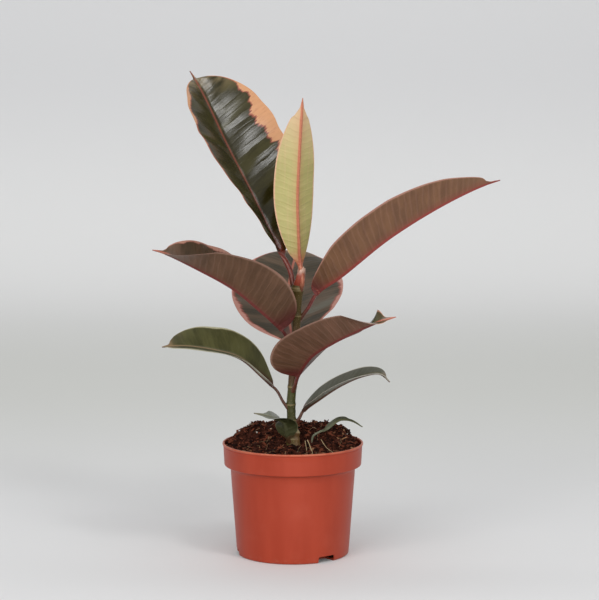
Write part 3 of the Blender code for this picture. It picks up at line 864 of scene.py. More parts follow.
@dataclass
class Soil:
    """The potting mix: low in front of the stem and heaped up behind it."""

    heap: float = 0.0170
    heap_middle: tuple[float, float] = (0.0, 0.030)
    heap_reach: float = 0.026
    heap_width: float = 0.060
    at_wall: float = 0.0025
    wall: float = RIM_RADIUS - 0.0019
    low: float = 0.0018
    lumps: float = 0.0024
    chips: int = 1900
    granules: int = 1300
    strands: int = 34
    columns: int = 168
    floor_rows: int = 4
    side_rows: int = 28
    top_rows: int = 70
    gap: float = 0.0003
    notch_from: float = 0.0345
    notch_half: float = 0.011
    notch_top: float = 0.012
    batch: int = 100
    bit_sizes: tuple[float, ...] = (0.0007, 0.0010, 0.0014, 0.0019, 0.0022)
    bit_tilt: float = 0.45
    chip_shape: tuple[tuple[float, float], ...] = ((1.4, 2.8), (0.6, 1.1), (0.25, 0.5))
    granule_shape: tuple[tuple[float, float], ...] = ((0.8, 1.3), (0.7, 1.1), (0.6, 0.9))
    bit_jitter: float = 0.14
    straws: tuple[Straw, ...] = (
        Straw((0.0125, -0.006), (0.0170, -0.026), 0.0060, 0.00050),
        Straw((0.0105, -0.004), (0.0120, -0.022), 0.0030, 0.00038),
        Straw((0.0240, -0.004), (0.0365, -0.028), 0.0035, 0.00030),
    )
    finish: SoilFinish = field(default_factory=SoilFinish)

    def plain_height(self, x: float, y: float) -> float:
        """Height of the surface without its lumps.

        Args:
            x: distance to the right of the pot's middle.
            y: distance behind the pot's middle.

        Returns:
            The height above the table.
        """
        across = ((x - self.heap_middle[0]) / self.heap_width) ** 6
        back = ((y - self.heap_middle[1]) / self.heap_reach) ** 4
        edge = min(hypot(x, y) / self.wall, 1.0)
        pile = self.heap / (1.0 + across + back) * (1.0 - edge ** 14)
        return SOIL_LEVEL + pile - self.at_wall * edge ** 4 * max(-y, 0.0) / self.wall

    def height(self, x: float, y: float) -> float:
        """Height of the lumpy surface.

        Args:
            x: distance to the right of the pot's middle.
            y: distance behind the pot's middle.

        Returns:
            The height above the table.
        """
        lump = noise.fractal(Vector((x, y, 0.0)) * 110.0, 1.0, 2.1, 4)
        ridge = abs(noise.noise(Vector((x, y, 0.3)) * 260.0))
        edge = min(hypot(x, y) / self.wall, 1.0)
        calm = 1.0 - 0.5 * edge ** 8
        return self.plain_height(x, y) + self.lumps * calm * (lump + 0.7 * ridge - 0.2)

    def build_ground(self) -> None:
        """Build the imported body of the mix, closed underneath and down the pot's inside."""
        sides_from = self.floor_rows
        top_from = sides_from + self.side_rows
        sleeve = Sleeve(rows=top_from + self.top_rows, columns=self.columns)
        inside = Pot().inner_radius
        rim = SOIL_LEVEL - self.at_wall - 0.0015

        def place(row: int, column: int) -> Vector:
            """Point of the body, going out over its floor, up its side and in over its top.

            Args:
                row: row from the middle of the floor.
                column: column round the pot.

            Returns:
                The point.
            """
            turn = 2 * pi * column / self.columns
            if row < sides_from:
                radius = (inside(self.low) - 2 * self.gap) * row / (sides_from - 1)
                spot = Vector((radius * cos(turn), radius * sin(turn), self.low))
            elif row < top_from:
                level = self.low + (rim - self.low) * (row - sides_from + 1) / self.side_rows
                radius = inside(level) - self.gap
                spot = Vector((radius * cos(turn), radius * sin(turn), level))
            else:
                radius = self.wall * (1.0 - (row - top_from) / (self.top_rows - 1))
                x, y = radius * cos(turn), radius * sin(turn)
                spot = Vector((x, y, self.height(x, y)))
            return self.hollow_at_notches(spot)

        add_piece("soil_body", sleeve.build(place), [self.finish.ground()], "potting_soil", ["soil"], 80.0)

    def hollow_at_notches(self, spot: Vector) -> Vector:
        """Pull the mix back behind the pot's drainage notches.

        Args:
            spot: a point of the mix.

        Returns:
            The point, moved inward where a notch is.
        """
        for angle in Pot.notch_angles:
            way = Vector((cos(radians(angle)), sin(radians(angle)), 0.0))
            off = abs(way.cross(spot).z)
            if spot.z < self.notch_top and off < self.notch_half and way.dot(spot) > self.notch_from:
                spot = spot - way * (way.dot(spot) - self.notch_from)
        return spot

    def build_bits(self) -> None:
        """Scatter chips and granules over the surface, pressed into it at random angles."""
        draw = Random(11)
        whole = bmesh.new()
        whole.verts.layers.float_vector.new("metric")
        kinds = [Grain.CHIP] * self.chips + [Grain.GRANULE] * self.granules
        for start in range(0, len(kinds), self.batch):
            batch = bmesh.new()
            store = batch.verts.layers.float_vector.new("metric")
            for kind in kinds[start:start + self.batch]:
                self.add_bit(batch, store, kind, draw)
            mesh = bpy.data.meshes.new("batch")
            batch.to_mesh(mesh)
            batch.free()
            whole.from_mesh(mesh)
            bpy.data.meshes.remove(mesh)
        bmesh.ops.recalc_face_normals(whole, faces=whole.faces)
        add_piece("soil_bits", whole, [self.finish.bits()], "potting_soil", (), 25.0)

    def add_bit(self, bm: bmesh.types.BMesh, store: bmesh.types.BMLayerItem, kind: Grain, draw: Random) -> None:
        """Add one bit at a random place.

        Args:
            bm: the batch that it goes in.
            store: the layer that keeps its tone.
            kind: chip or granule.
            draw: the random source.
        """
        radius = (self.wall - 0.0016) * draw.random() ** 0.5
        turn = draw.uniform(0, 2 * pi)
        x, y = radius * cos(turn), radius * sin(turn)
        size = draw.choice(self.bit_sizes) * draw.uniform(0.8, 1.3)
        tilt = Euler((draw.gauss(0, self.bit_tilt), draw.gauss(0, self.bit_tilt), draw.uniform(0, pi)))
        if kind is Grain.CHIP:
            made = bmesh.ops.create_cube(bm, size=1.0)["verts"]
            shape = self.chip_shape
        else:
            made = bmesh.ops.create_icosphere(bm, subdivisions=1, radius=0.5)["verts"]
            shape = self.granule_shape
        scale = [size * draw.uniform(*span) for span in shape]
        tone = draw.random()
        lift = draw.uniform(-0.1, 0.45) * size
        centre = Vector((x, y, self.height(x, y) + lift))
        turned = tilt.to_matrix() @ Matrix.Diagonal(scale)
        for vert in made:
            jitter = Vector([draw.uniform(-self.bit_jitter, self.bit_jitter) for _ in range(3)])
            spot = centre + turned @ (vert.co + jitter)
            spot.xy *= min(1.0, (self.wall - 0.0002) / spot.xy.length)
            vert.co = spot
            vert[store] = (tone, 0.0, 0.0)

    def build_strands(self) -> None:
        """Lay thin root and coir strands over the surface."""
        draw = Random(23)
        whole = bmesh.new()
        for number in range(self.strands):
            radius = (self.wall - 0.010) * draw.random() ** 0.5
            turn = draw.uniform(0, 2 * pi)
            start = Vector((radius * cos(turn), radius * sin(turn), 0.0))
            way = Vector((cos(turn * 3.1 + number), sin(turn * 3.1 + number), 0.0))
            length = draw.uniform(0.006, 0.014)
            middle = start + way * length * 0.5 + way.orthogonal() * draw.uniform(-0.002, 0.002)
            points = [start, middle, start + way * length]
            for index, point in enumerate(points):
                point.z = self.height(point.x, point.y) + (0.0022 if index == 1 else 0.0004)
            Strand(points, draw.uniform(0.00012, 0.00022), 0.3).add_to(whole)
        add_piece("soil_strands", whole, [StrawFinish().material("root_strands", 1.0)], "potting_soil")

    def build_straws(self) -> None:
        """Lay the few dry straws that lie to the right of the stem."""
        whole = bmesh.new()
        for straw in self.straws:
            first, last = Vector((*straw.start, 0.0)), Vector((*straw.end, 0.0))
            points = [first.lerp(last, share) for share in (0.0, 0.33, 0.67, 1.0)]
            for index, point in enumerate(points):
                point.z = self.height(point.x, point.y) + 0.0006 + straw.arch * (1.0 - index / 3)
            Strand(points, straw.radius, 0.6).add_to(whole)
        add_piece("soil_straws", whole, [StrawFinish().material("dry_straw", 0.1)], "potting_soil")

    def build(self) -> None:
        """Build everything that lies in the pot."""
        self.build_ground()
        self.build_bits()
        self.build_strands()
        self.build_straws()


@dataclass
class Strand:
    """A thin round strand along a smooth line, thinner towards its far end."""

    points: Sequence[Vector]
    radius: float
    taper: float
    columns: int = 6

    def add_to(self, whole: bmesh.types.BMesh) -> None:
        """Build the strand and join it to a larger mesh.

        Args:
            whole: the mesh that it goes in.
        """
        line = smooth_line(self.points, 4)

        def place(row: int, column: int) -> Vector:
            """Point of the strand's skin.

            Args:
                row: row along the strand.
                column: column round it.

            Returns:
                The point.
            """
            before, after = line[max(row - 1, 0)], line[min(row + 1, len(line) - 1)]
            ahead = (after - before).normalized()
            right = ahead.cross(Vector((0.0, 0.0, 1.0))).normalized()
            up = right.cross(ahead)
            turn = 2 * pi * column / self.columns
            radius = self.radius * (1.0 - (1.0 - self.taper) * row / (len(line) - 1))
            return line[row] + (right * cos(turn) + up * sin(turn)) * radius

        bm = Sleeve(rows=len(line), columns=self.columns).build(place)
        mesh = bpy.data.meshes.new("strand")
        bm.to_mesh(mesh)
        bm.free()
        whole.from_mesh(mesh)
        bpy.data.meshes.remove(mesh)


# ---------------------------------------------------------------- pot


@dataclass
class Pot:
    """A moulded nursery pot: tapered body, wide rim band, thin lip, notches and drain holes."""

    notch_angles: tuple[float, ...] = (-53.0, 67.0, 187.0)
    base_radius: float = 0.0478
    band_height: float = 0.0185
    band_taper: float = 0.0015
    band_step: float = 0.0052
    shoulder: float = 0.0034
    wall: float = 0.0011
    lip: float = 0.0016
    floor: float = 0.0014
    corner: float = 0.0016
    bead: float = 0.0006
    notch_size: tuple[float, float, float] = (0.012, 0.0165, 0.0055)
    drain_holes: int = 6
    drain_circle: float = 0.024
    drain_radius: float = 0.0025
    drain_turn: float = 11.0
    columns: int = 168
    wall_steps: int = 14

    def steps(self) -> tuple[float, float, float, float]:
        """Where the outside changes slope.

        Returns:
            Height and radius of the band's foot, and height and radius of the neck under its shoulder.
        """
        foot, foot_radius = POT_HEIGHT - self.band_height, RIM_RADIUS - self.band_taper
        return foot, foot_radius, foot - self.shoulder, foot_radius - self.band_step

    def inner_radius(self, level: float) -> float:
        """Inside radius of the wall.

        Args:
            level: height above the table.

        Returns:
            The radius there.
        """
        foot, foot_radius, neck, neck_radius = self.steps()
        if level <= neck:
            outer = self.base_radius + (neck_radius - self.base_radius) * level / neck
        elif level <= foot:
            outer = neck_radius + (foot_radius - neck_radius) * (level - neck) / self.shoulder
        else:
            outer = foot_radius + (RIM_RADIUS - foot_radius) * (level - foot) / self.band_height
        return outer - self.wall

    def outline(self) -> list[tuple[float, float]]:
        """The wall's outline, from under the floor round to the floor's top side.

        Returns:
            The outline's (radius, height) points.
        """
        top = POT_HEIGHT
        foot, foot_radius, neck, neck_radius = self.steps()
        line = [(share * (self.base_radius - self.corner), 0.0) for share in (0.0, 0.2, 0.4, 0.6, 0.8)]
        line += self.bend((self.base_radius - self.corner, self.corner), self.corner, -90, 2, 6)
        for step in range(1, self.wall_steps):
            share = step / self.wall_steps
            line.append((self.base_radius + (neck_radius - self.base_radius) * share, neck * share))
        line += [(neck_radius - 0.0002, neck - 0.0006), (neck_radius, neck)]
        line += [(neck_radius + 0.0004, neck + 0.0007), (neck_radius + 0.0030, neck + 0.0032)]
        line += self.bend((foot_radius - 0.0010, foot + 0.0004), 0.0010, -60, 4, 5)
        under_bead = RIM_RADIUS - self.bead
        for share in (0.2, 0.4, 0.6, 0.8):
            line.append((foot_radius + (under_bead - foot_radius) * share, foot + self.band_height * share))
        line += [(under_bead, top - 0.0030), (under_bead - 0.0002, top - 0.0026)]
        line += [(under_bead, top - 0.0022), (RIM_RADIUS - 0.0002, top - 0.0018), (RIM_RADIUS, top - 0.0012)]
        line += self.bend((RIM_RADIUS - 0.0006, top - 0.0006), 0.0006, 0, 90, 4)
        line += self.bend((RIM_RADIUS - self.lip + 0.0005, top - 0.0005), 0.0005, 90, 180, 4)
        line += [(RIM_RADIUS - self.lip, top - 0.0024), (RIM_RADIUS - self.wall - 0.0003, top - 0.0034)]
        widening = RIM_RADIUS - foot_radius
        for share in (0.75, 0.5, 0.25, 0.0):
            line.append((foot_radius - self.wall + widening * share, foot + self.band_height * share))
        line += [(neck_radius - self.wall, neck)]
        for step in range(self.wall_steps - 1, 0, -1):
            share = step / self.wall_steps
            level = self.floor + (neck - self.floor) * share
            radius = self.base_radius - self.wall + (neck_radius - self.base_radius) * share
            line.append((radius, level))
        line += [(self.base_radius - self.wall - 0.0006, self.floor + 0.0002)]
        line += [(share * self.base_radius * 0.95, self.floor) for share in (1.0, 0.8, 0.6, 0.4, 0.2, 0.0)]
        return line

    @staticmethod
    def bend(centre: tuple[float, float], radius: float, start: float, end: float,
             steps: int) -> list[tuple[float, float]]:
        """Points of an arc of the outline.

        Args:
            centre: the arc's middle.
            radius: its radius.
            start: first angle in degrees.
            end: last angle in degrees.
            steps: number of steps.

        Returns:
            The arc's points.
        """
        turns = [radians(start + (end - start) * step / steps) for step in range(steps + 1)]
        return [(centre[0] + radius * cos(a), centre[1] + radius * sin(a)) for a in turns]

    def cutters(self) -> list[bpy.types.Object]:
        """The blocks and rods that cut the notches and the drain holes.

        Returns:
            The cutting objects.
        """
        depth, width, height = self.notch_size
        blocks = []
        for number, angle in enumerate(self.notch_angles):
            bm = bmesh.new()
            bmesh.ops.create_cube(bm, size=1.0)
            outer, inner = self.base_radius + 0.0044, self.base_radius - self.wall - depth
            bmesh.ops.scale(bm, vec=(outer - inner, width, 2 * height), verts=bm.verts)
            bmesh.ops.translate(bm, vec=((outer + inner) / 2, 0.0, 0.0), verts=bm.verts)
            upright = [e for e in bm.edges
                       if abs(e.verts[0].co.x - e.verts[1].co.x) > 0.001 and e.verts[0].co.z > 0]
            bmesh.ops.bevel(bm, geom=upright, offset=0.0014, offset_type="OFFSET", affect="EDGES", segments=4,
                            profile=0.5, material=-1)
            spin = Matrix.Rotation(radians(angle), 3, "Z")
            bmesh.ops.rotate(bm, cent=(0, 0, 0), matrix=spin, verts=bm.verts)
            blocks.append(add_piece(f"notch_{number}", bm, (), None))
        for number in range(self.drain_holes):
            turn = radians(self.drain_turn) + 2 * pi * number / self.drain_holes
            bm = bmesh.new()
            bmesh.ops.create_cone(bm, cap_ends=True, segments=28, radius1=self.drain_radius,
                                  radius2=self.drain_radius, depth=4 * self.floor)
            place = (self.drain_circle * cos(turn), self.drain_circle * sin(turn), self.floor / 2)
            bmesh.ops.translate(bm, vec=place, verts=bm.verts)
            blocks.append(add_piece(f"drain_{number}", bm, (), None))
        return blocks

    def build(self) -> None:
        """Build the pot and cut its notches and holes."""
        line = self.outline()

        def place(row: int, column: int) -> Vector:
            """A point of the outline, turned round to its column."""
            turn = 2 * pi * (column + 0.5) / self.columns
            return Vector((line[row][0] * cos(turn), line[row][0] * sin(turn), line[row][1]))

        bm = Sleeve(rows=len(line), columns=self.columns).build(place)
        pot = add_piece("pot_body", bm, [PotFinish().material(POT_HEIGHT)], None)
        blocks = self.cutters()
        for block in blocks:
            trim = pot.modifiers.new(block.name, "BOOLEAN")
            trim.operation = "DIFFERENCE"
            trim.object = block
            trim.solver = "EXACT"
        seen = pot.evaluated_get(bpy.context.evaluated_depsgraph_get())
        mesh = bpy.data.meshes.new_from_object(seen)
        for block in blocks + [pot]:
            bpy.data.objects.remove(block, do_unlink=True)
        bm = bmesh.new()
        bm.from_mesh(mesh)
        finish = mesh.materials[0]
        bpy.data.meshes.remove(mesh)
        add_piece("pot_moulding", bm, [finish], "pot_plastic", ["pot"], 35.0)


# ---------------------------------------------------------------- stem and bud


@dataclass
class Stem:
    """The upright stem with a flared foot, leaf rings and a dry stub beside its foot."""

    radius: float = 0.0037
    flare: float = 0.0022
    flare_length: float = 0.016
    ring_swell: float = 0.0004
    ring_length: float = 0.0022
    stub: float = 0.0040
    foot_depth: float = 0.030
    columns: int = 40
    step: float = 0.0009
    line: tuple[Point, ...] = (
        (-0.0007, 0.0, -0.030), (-0.0007, 0.0, 0.0025), (-0.0015, 0.0, 0.0425),
        (0.0002, 0.0, 0.0645), (0.0027, 0.0, 0.0945), (0.0044, 0.0, 0.1422),
    )
    extra_rings: tuple[float, ...] = (0.0330, 0.0690, 0.1010)
    top_swell: float = 0.0010
    top_reach: float = 0.0240
    leaf_swell: float = 0.0007
    leaf_reach: float = 0.0045
    leaf_drop: float = 0.0012
    fine_ring: float = 0.00022
    fine_ring_reach: float = 0.0012
    uneven: float = 0.00016
    grain: float = 0.00007
    stub_turn: float = -0.45
    stub_top: float = 0.0185
    stub_round: float = 0.0030
    stub_bulge: float = 0.0150
    stub_cap: float = 0.0165

    def axis(self, rise: float) -> Vector:
        """Middle of the stem.

        Args:
            rise: height above the soil.

        Returns:
            The point.
        """
        for low, high in zip(self.line, self.line[1:]):
            if rise <= high[2]:
                break
        point = Vector(low).lerp(Vector(high), (rise - low[2]) / (high[2] - low[2]))
        return point + Vector((0.0, 0.0, SOIL_LEVEL))

    def plain_radius(self, rise: float) -> float:
        """Radius without the finer shaping.

        Args:
            rise: height above the soil.

        Returns:
            The radius there.
        """
        above = max(rise, 0.0) / self.flare_length
        radius = self.radius + self.flare * max(1.0 - above, 0.0) ** 2
        for leaf in LEAVES:
            radius += self.ring_swell * max(1.0 - abs(rise - leaf.rise) / self.ring_length, 0.0)
        return radius

    def skin_radius(self, rise: float, turn: float) -> float:
        """Radius with swellings under each leaf, fine rings and a little unevenness.

        Args:
            rise: height above the soil.
            turn: direction round the stem.

        Returns:
            The radius there.
        """
        radius = self.plain_radius(rise) + self.top_swell * pulse(rise - 0.1420, self.top_reach)
        for leaf in LEAVES:
            toward = 0.5 + 0.5 * cos(turn - radians(leaf.side))
            radius += self.leaf_swell * toward ** 3 * pulse(rise - leaf.rise + self.leaf_drop, self.leaf_reach)
        for ring in self.extra_rings:
            radius += self.fine_ring * pulse(rise - ring, self.fine_ring_reach)
        uneven = noise.noise(Vector((cos(turn) * 1.5, sin(turn) * 1.5, rise * 90.0)))
        fine = noise.noise(Vector((cos(turn) * 4.0, sin(turn) * 4.0, rise * 420.0)))
        return radius + self.uneven * uneven + self.grain * fine + self.stub * self.stub_share(rise, turn)

    def stub_share(self, rise: float, turn: float) -> float:
        """How far the dry stub beside the foot stands out.

        Args:
            rise: height above the soil.
            turn: direction round the stem.

        Returns:
            Its share of the stub's full reach, from 0 to 1.
        """
        toward = max(cos(turn - self.stub_turn), 0.0) ** 4
        cap = max(min((self.stub_top - rise) / self.stub_round, 1.0), 0.0) ** 0.5
        return toward * cap * (0.75 + 0.25 * pulse(rise - self.stub_bulge, 0.0040))

    def build(self) -> None:
        """Build the stem."""
        top = self.line[-1][2]
        rows = int((top + self.foot_depth) / self.step)

        def rise_at(row: int) -> float:
            """Height of a row above the soil."""
            return -self.foot_depth + (top + self.foot_depth) * row / (rows - 1)

        def place(row: int, column: int) -> Vector:
            """Point of the bark, drawn in a little at both ends.

            Args:
                row: row from the foot up.
                column: column round the stem.

            Returns:
                The point.
            """
            rise, turn = rise_at(row), 2 * pi * column / self.columns
            radius = self.skin_radius(rise, turn) * (0.88 if row in (0, rows - 1) else 1.0)
            return self.axis(rise) + Vector((radius * cos(turn), radius * sin(turn), 0.0))

        def metric(row: int, column: int) -> Point:
            """How much of a leaf ring, of the dry stub and of its pale cap shows at a point.

            Args:
                row: row from the foot up.
                column: column round the stem.

            Returns:
                The three shares, each from 0 to 1.
            """
            rise = rise_at(row)
            mark = max([pulse(rise - leaf.rise, 0.0011) for leaf in LEAVES]
                       + [0.7 * pulse(rise - ring, 0.0007) for ring in self.extra_rings])
            stub = self.stub_share(rise, 2 * pi * column / self.columns)
            return (mark, stub, pulse(rise - self.stub_cap, self.stub_round) * stub)

        bm = Sleeve(rows=rows, columns=self.columns).build(place, metric)
        finish = StemFinish().material(SOIL_LEVEL, STEM_TOP)
        add_piece("stem_bark", bm, [finish], "stem_bark", ["stem"])


@dataclass
class Bud:
    """The pointed bud on the stem's top, with a torn papery sheath round its foot."""

    length: float = 0.019
    radius: float = 0.0019
    lean: tuple[float, float] = (0.0012, -0.0006)
    columns: int = 28
    rows: int = 40
    sheath_rows: int = 14
    sheath_columns: int = 36
    sheath_height: float = 0.0165
    sheath_drop: float = 0.0020
    sheath_turn: float = -0.75
    sheath_radius: float = 0.0043
    sheath_flare: float = 0.0010
    sheath_narrow: float = 0.0009
    sheath_wall: float = 0.00022
    sheath_lean: tuple[float, float] = (0.0018, -0.0022)

    def build(self, stem: Stem) -> None:
        """Build the bud and its sheath.

        Args:
            stem: the stem that it stands on.
        """
        base = stem.axis(stem.line[-1][2])

        def place(row: int, column: int) -> Vector:
            """Point of the bud's skin.

            Args:
                row: row from the foot up.
                column: column round the bud.

            Returns:
                The point.
            """
            share = row / (self.rows - 1)
            turn = 2 * pi * column / self.columns
            radius = self.radius * max(1.0 - share ** 1.7, 0.05) * (0.85 + 0.15 * min(share * 6.0, 1.0))
            radius *= 1.0 + 0.10 * sin(2 * turn + share * 9.0)
            middle = base + Vector((self.lean[0], self.lean[1], self.length)) * share
            return middle + Vector((radius * cos(turn), radius * sin(turn), 0.0))

        finish = BudFinish().material(base.z, base.z + self.length)
        add_piece("bud_tip", Sleeve(self.rows, self.columns).build(place), [finish], "bud_skin", ["tip_bud"])
        self.build_sheath(base, finish)

    def build_sheath(self, base: Vector, finish: bpy.types.Material) -> None:
        """Build the torn sheath: a thin flared cuff, deeper on one side, with a ragged edge.

        Args:
            base: middle of the stem's top.
            finish: the sheath's material.
        """
        rows, columns = self.sheath_rows, self.sheath_columns

        def place(row: int, column: int) -> Vector:
            """Point of the cuff, going up its outside and down its inside.

            Args:
                row: row from the outside's foot.
                column: column round the cuff.

            Returns:
                The point.
            """
            turn = 2 * pi * column / columns
            inner = row >= rows // 2
            share = (rows - 1 - row) / (rows // 2 - 1) if inner else row / (rows // 2 - 1)
            toward = cos(turn - self.sheath_turn)
            ragged = 0.62 + 0.38 * toward + 0.22 * noise.noise(Vector((cos(turn) * 2.2, sin(turn) * 2.2, 4.0)))
            height = self.sheath_height * max(ragged, 0.2) * share
            flare = self.sheath_flare * min(share * 2.5, 1.0)
            radius = self.sheath_radius + flare - self.sheath_narrow * share ** 2 * (1.6 - toward)
            radius -= self.sheath_wall if inner else 0.0
            lean = share ** 0.7
            right, back = (lean * shift for shift in self.sheath_lean)
            spot = (radius * cos(turn) + right, radius * sin(turn) + back, height - self.sheath_drop)
            return base + Vector(spot)

        bm = Sleeve(rows=rows, columns=columns, open_ends=True).build(place)
        bmesh.ops.bridge_loops(bm, edges=[e for e in bm.edges if e.is_boundary])
        bmesh.ops.recalc_face_normals(bm, faces=bm.faces)
        add_piece("bud_sheath", bm, [finish], "bud_skin")


# ---------------------------------------------------------------- leaves


@dataclass(frozen=True)
class Station:
    """One section's place along a leaf: its middle, the leaf's direction there, and the way so far."""

    centre: Vector
    tangent: Vector
    travelled: float


@dataclass
class Leaf:
    """One leaf: a round stalk that widens into a folded blade with a rib underneath.

    The line's points are measured from the stem's skin. The fold and curl angles, in degrees, and the
    directions that the upper side faces are spread evenly along the blade.
    """

    name: str
    side: float
    rise: float
    stalk: float
    line: tuple[Point, ...]
    half: float
    widest: float
    full: float
    fold: tuple[float, ...]
    curl: tuple[float, ...]
    face: tuple[Point, ...]
    finish: LeafFinish
    stalk_radius: float = 0.0016
    blade_thickness: float = 0.0009
    margin_thickness: float = 0.0005
    rib_depth: float = 0.0016
    drip_tip: float = 0.008
    tip_radius: float = 0.00035
    tip_flare: float = 0.0024
    stalk_flare: float = 0.45
    stalk_over: float = 0.0045
    wave: float = 0.0007
    swell: float = 0.00012
    sections: int = 150
    half_columns: int = 17
    crowding: float = 1.45
    root_drop: float = 0.0040
    root_inset: float = 0.0004
    skin_gap: float = 0.0005
    elbow: float = 0.0008
    flare_reach: float = 0.012
    groove: float = 0.00035
    groove_reach: float = 0.0011
    rib_half: float = 0.0023
    quilt: float = 0.00008
    swell_length: float = 0.025
    start: Vector | None = None
    buried: float = 0.010

    def points(self, stem: Stem) -> list[Vector]:
        """Points along the leaf's middle.

        Args:
            stem: the stem that it grows from.

        Returns:
            The points, from inside the stem to the tip.
        """
        if self.start is not None:
            beyond = [self.start + Vector(point) for point in self.line]
            return [self.start - Vector((0.0, 0.0, self.buried)), self.start] + beyond
        away = Vector((cos(radians(self.side)), sin(radians(self.side)), 0.12)).normalized()
        skin = stem.axis(self.rise) + away * (stem.plain_radius(self.rise) + self.skin_gap)
        inset = stem.plain_radius(self.rise) - self.stalk_radius - self.root_inset
        root = stem.axis(self.rise - self.root_drop) + away * inset
        beyond = [skin + Vector(point) for point in self.line]
        return [root, root.lerp(beyond[0], 0.4) + away * self.elbow] + beyond

    def half_width(self, share: float) -> float:
        """Half width of the blade.

        Args:
            share: 0 at the blade's foot and 1 where the drip tip starts.

        Returns:
            The half width there.
        """
        shift = log(0.5) / log(self.widest)
        u = min(max(share, 0.0), 1.0) ** shift
        return self.half * max(1.0 - abs(2.0 * u - 1.0) ** 2.2, 0.0) ** self.full

    def across(self, column: int) -> tuple[float, bool]:
        """Place of a column across the blade.

        Args:
            column: column round the section; the upper side comes first.

        Returns:
            The share of the half width, negative on the left, and whether it is on the upper side.
        """
        wide = 2 * self.half_columns
        upper = column <= wide
        step = column - self.half_columns if upper else 3 * self.half_columns - column
        share = step / self.half_columns
        return (1.0 if share > 0 else -1.0) * abs(share) ** self.crowding, upper

    def build(self, stem: Stem, seed: int) -> None:
        """Build the leaf.

        Args:
            stem: the stem that it grows from.
            seed: a number that sets its waves and pattern apart.
        """
        stations, total = self.stations(stem)
        columns = 4 * self.half_columns
        grid = [[self.section(station, total, column, seed) for column in range(columns)]
                for station in stations]

        def choose(row: float, column: float) -> int:
            """The finish of a face.

            Args:
                row: the face's middle along the leaf.
                column: its middle round the section.

            Returns:
                The material slot.
            """
            if stations[min(int(row), self.sections - 1)].travelled < self.stalk + self.stalk_over:
                return Side.STALK.value
            return Side.UPPER.value if column < 2 * self.half_columns else Side.UNDER.value

        bm = Sleeve(rows=self.sections, columns=columns).build(
            lambda row, column: grid[row][column][0], lambda row, column: grid[row][column][1], choose)
        finishes = [self.finish.upper(self.name, float(seed)), self.finish.below(self.name, float(seed)),
                    self.finish.stem_side(self.name, self.stalk)]
        add_piece(self.name + "_blade", bm, finishes, "leaf_skin", [self.name], 60.0)

    def stations(self, stem: Stem) -> tuple[list[Station], float]:
        """The places of the leaf's sections, a little closer together near both ends.

        Args:
            stem: the stem that it grows from.

        Returns:
            The stations, and the leaf's whole length.
        """
        samples = smooth_line(self.points(stem), 60)
        length = [0.0]
        for before, after in zip(samples, samples[1:]):
            length.append(length[-1] + (after - before).length)
        stations, index = [], 0
        for section in range(self.sections):
            even = section / (self.sections - 1)
            travelled = length[-1] * (even - 0.05 * sin(2 * pi * even))
            while index < len(samples) - 2 and length[index + 1] < travelled:
                index += 1
            rest = (travelled - length[index]) / (length[index + 1] - length[index])
            tangent = (samples[index + 1] - samples[index]).normalized()
            stations.append(Station(samples[index].lerp(samples[index + 1], rest), tangent, travelled))
        return stations, length[-1]

    def section(self, station: Station, total: float, column: int, seed: int) -> tuple[Vector, Point]:
        """A point of the leaf's section: a circle on the stalk, a folded blade with a rib beyond it.

        Args:
            station: the section's place along the leaf.
            total: the leaf's whole length.
            column: column round the section.
            seed: a number that sets the leaf's waves apart.

        Returns:
            The point, and its distance from the rib, distance along, and share of the half width.
        """
        centre, tangent, travelled = station.centre, station.tangent, station.travelled
        turn = 2 * pi * column / (4 * self.half_columns)
        across, upper = self.across(column)
        blade_length = total - self.stalk
        share = (travelled - self.stalk) / blade_length
        tip_start = 1.0 - self.drip_tip / blade_length
        looks = stepped([Vector(item).normalized() for item in self.face], share)
        normal = (looks - looks.dot(tangent) * tangent).normalized()
        right = tangent.cross(normal)
        blade = self.half_width(share / tip_start)
        thin = max(share, 0.0) ** 0.8
        core = self.stalk_radius + (self.tip_radius - self.stalk_radius) * thin
        core *= 1.0 + self.stalk_flare * max(1.0 - travelled / self.flare_reach, 0.0) ** 2
        beyond = (share - tip_start) / (1.0 - tip_start)
        flare = self.tip_flare * min(max(1.0 - beyond, 0.0), 2.0) * max(1.0 + min(beyond + 1.0, 0.0) / 4.0, 0.0)
        width = (blade * blade + core * core + flare * flare) ** 0.5
        flat = min(max(blade / (4.0 * self.stalk_radius), 0.0), 1.0)
        if share > 0.5:
            flat = max(flat, 0.75)
        fold = radians(stepped(self.fold, share)) * flat
        curl = radians(stepped(self.curl, share)) * flat
        out = abs(across)
        sign = 1.0 if across > 0 else -1.0
        angle = fold - curl * out / 2
        reach = width * out
        point = centre + right * sign * reach * cos(angle) + normal * reach * sin(angle)
        point += normal * self.ripple(sign, out, travelled, share, seed) * flat
        thick = self.blade_thickness + (self.margin_thickness - self.blade_thickness) * out
        thick *= (1.0 - out ** 10) ** 0.5 if share < 0.97 else 1.0
        if upper:
            groove = self.groove * exp(-(reach / self.groove_reach) ** 2) * flat
            point += normal * (thick * 0.5 - groove)
        else:
            rib_half = self.rib_half * (1.0 - 0.65 * max(share, 0.0))
            rib = self.rib_depth * (1.0 - 0.78 * max(share, 0.0)) * pulse(reach, rib_half)
            point -= normal * (thick * 0.5 + rib)
        round_point = centre - right * core * cos(turn) + normal * core * sin(turn)
        return round_point.lerp(point, flat), (sign * reach, travelled - self.stalk, out)

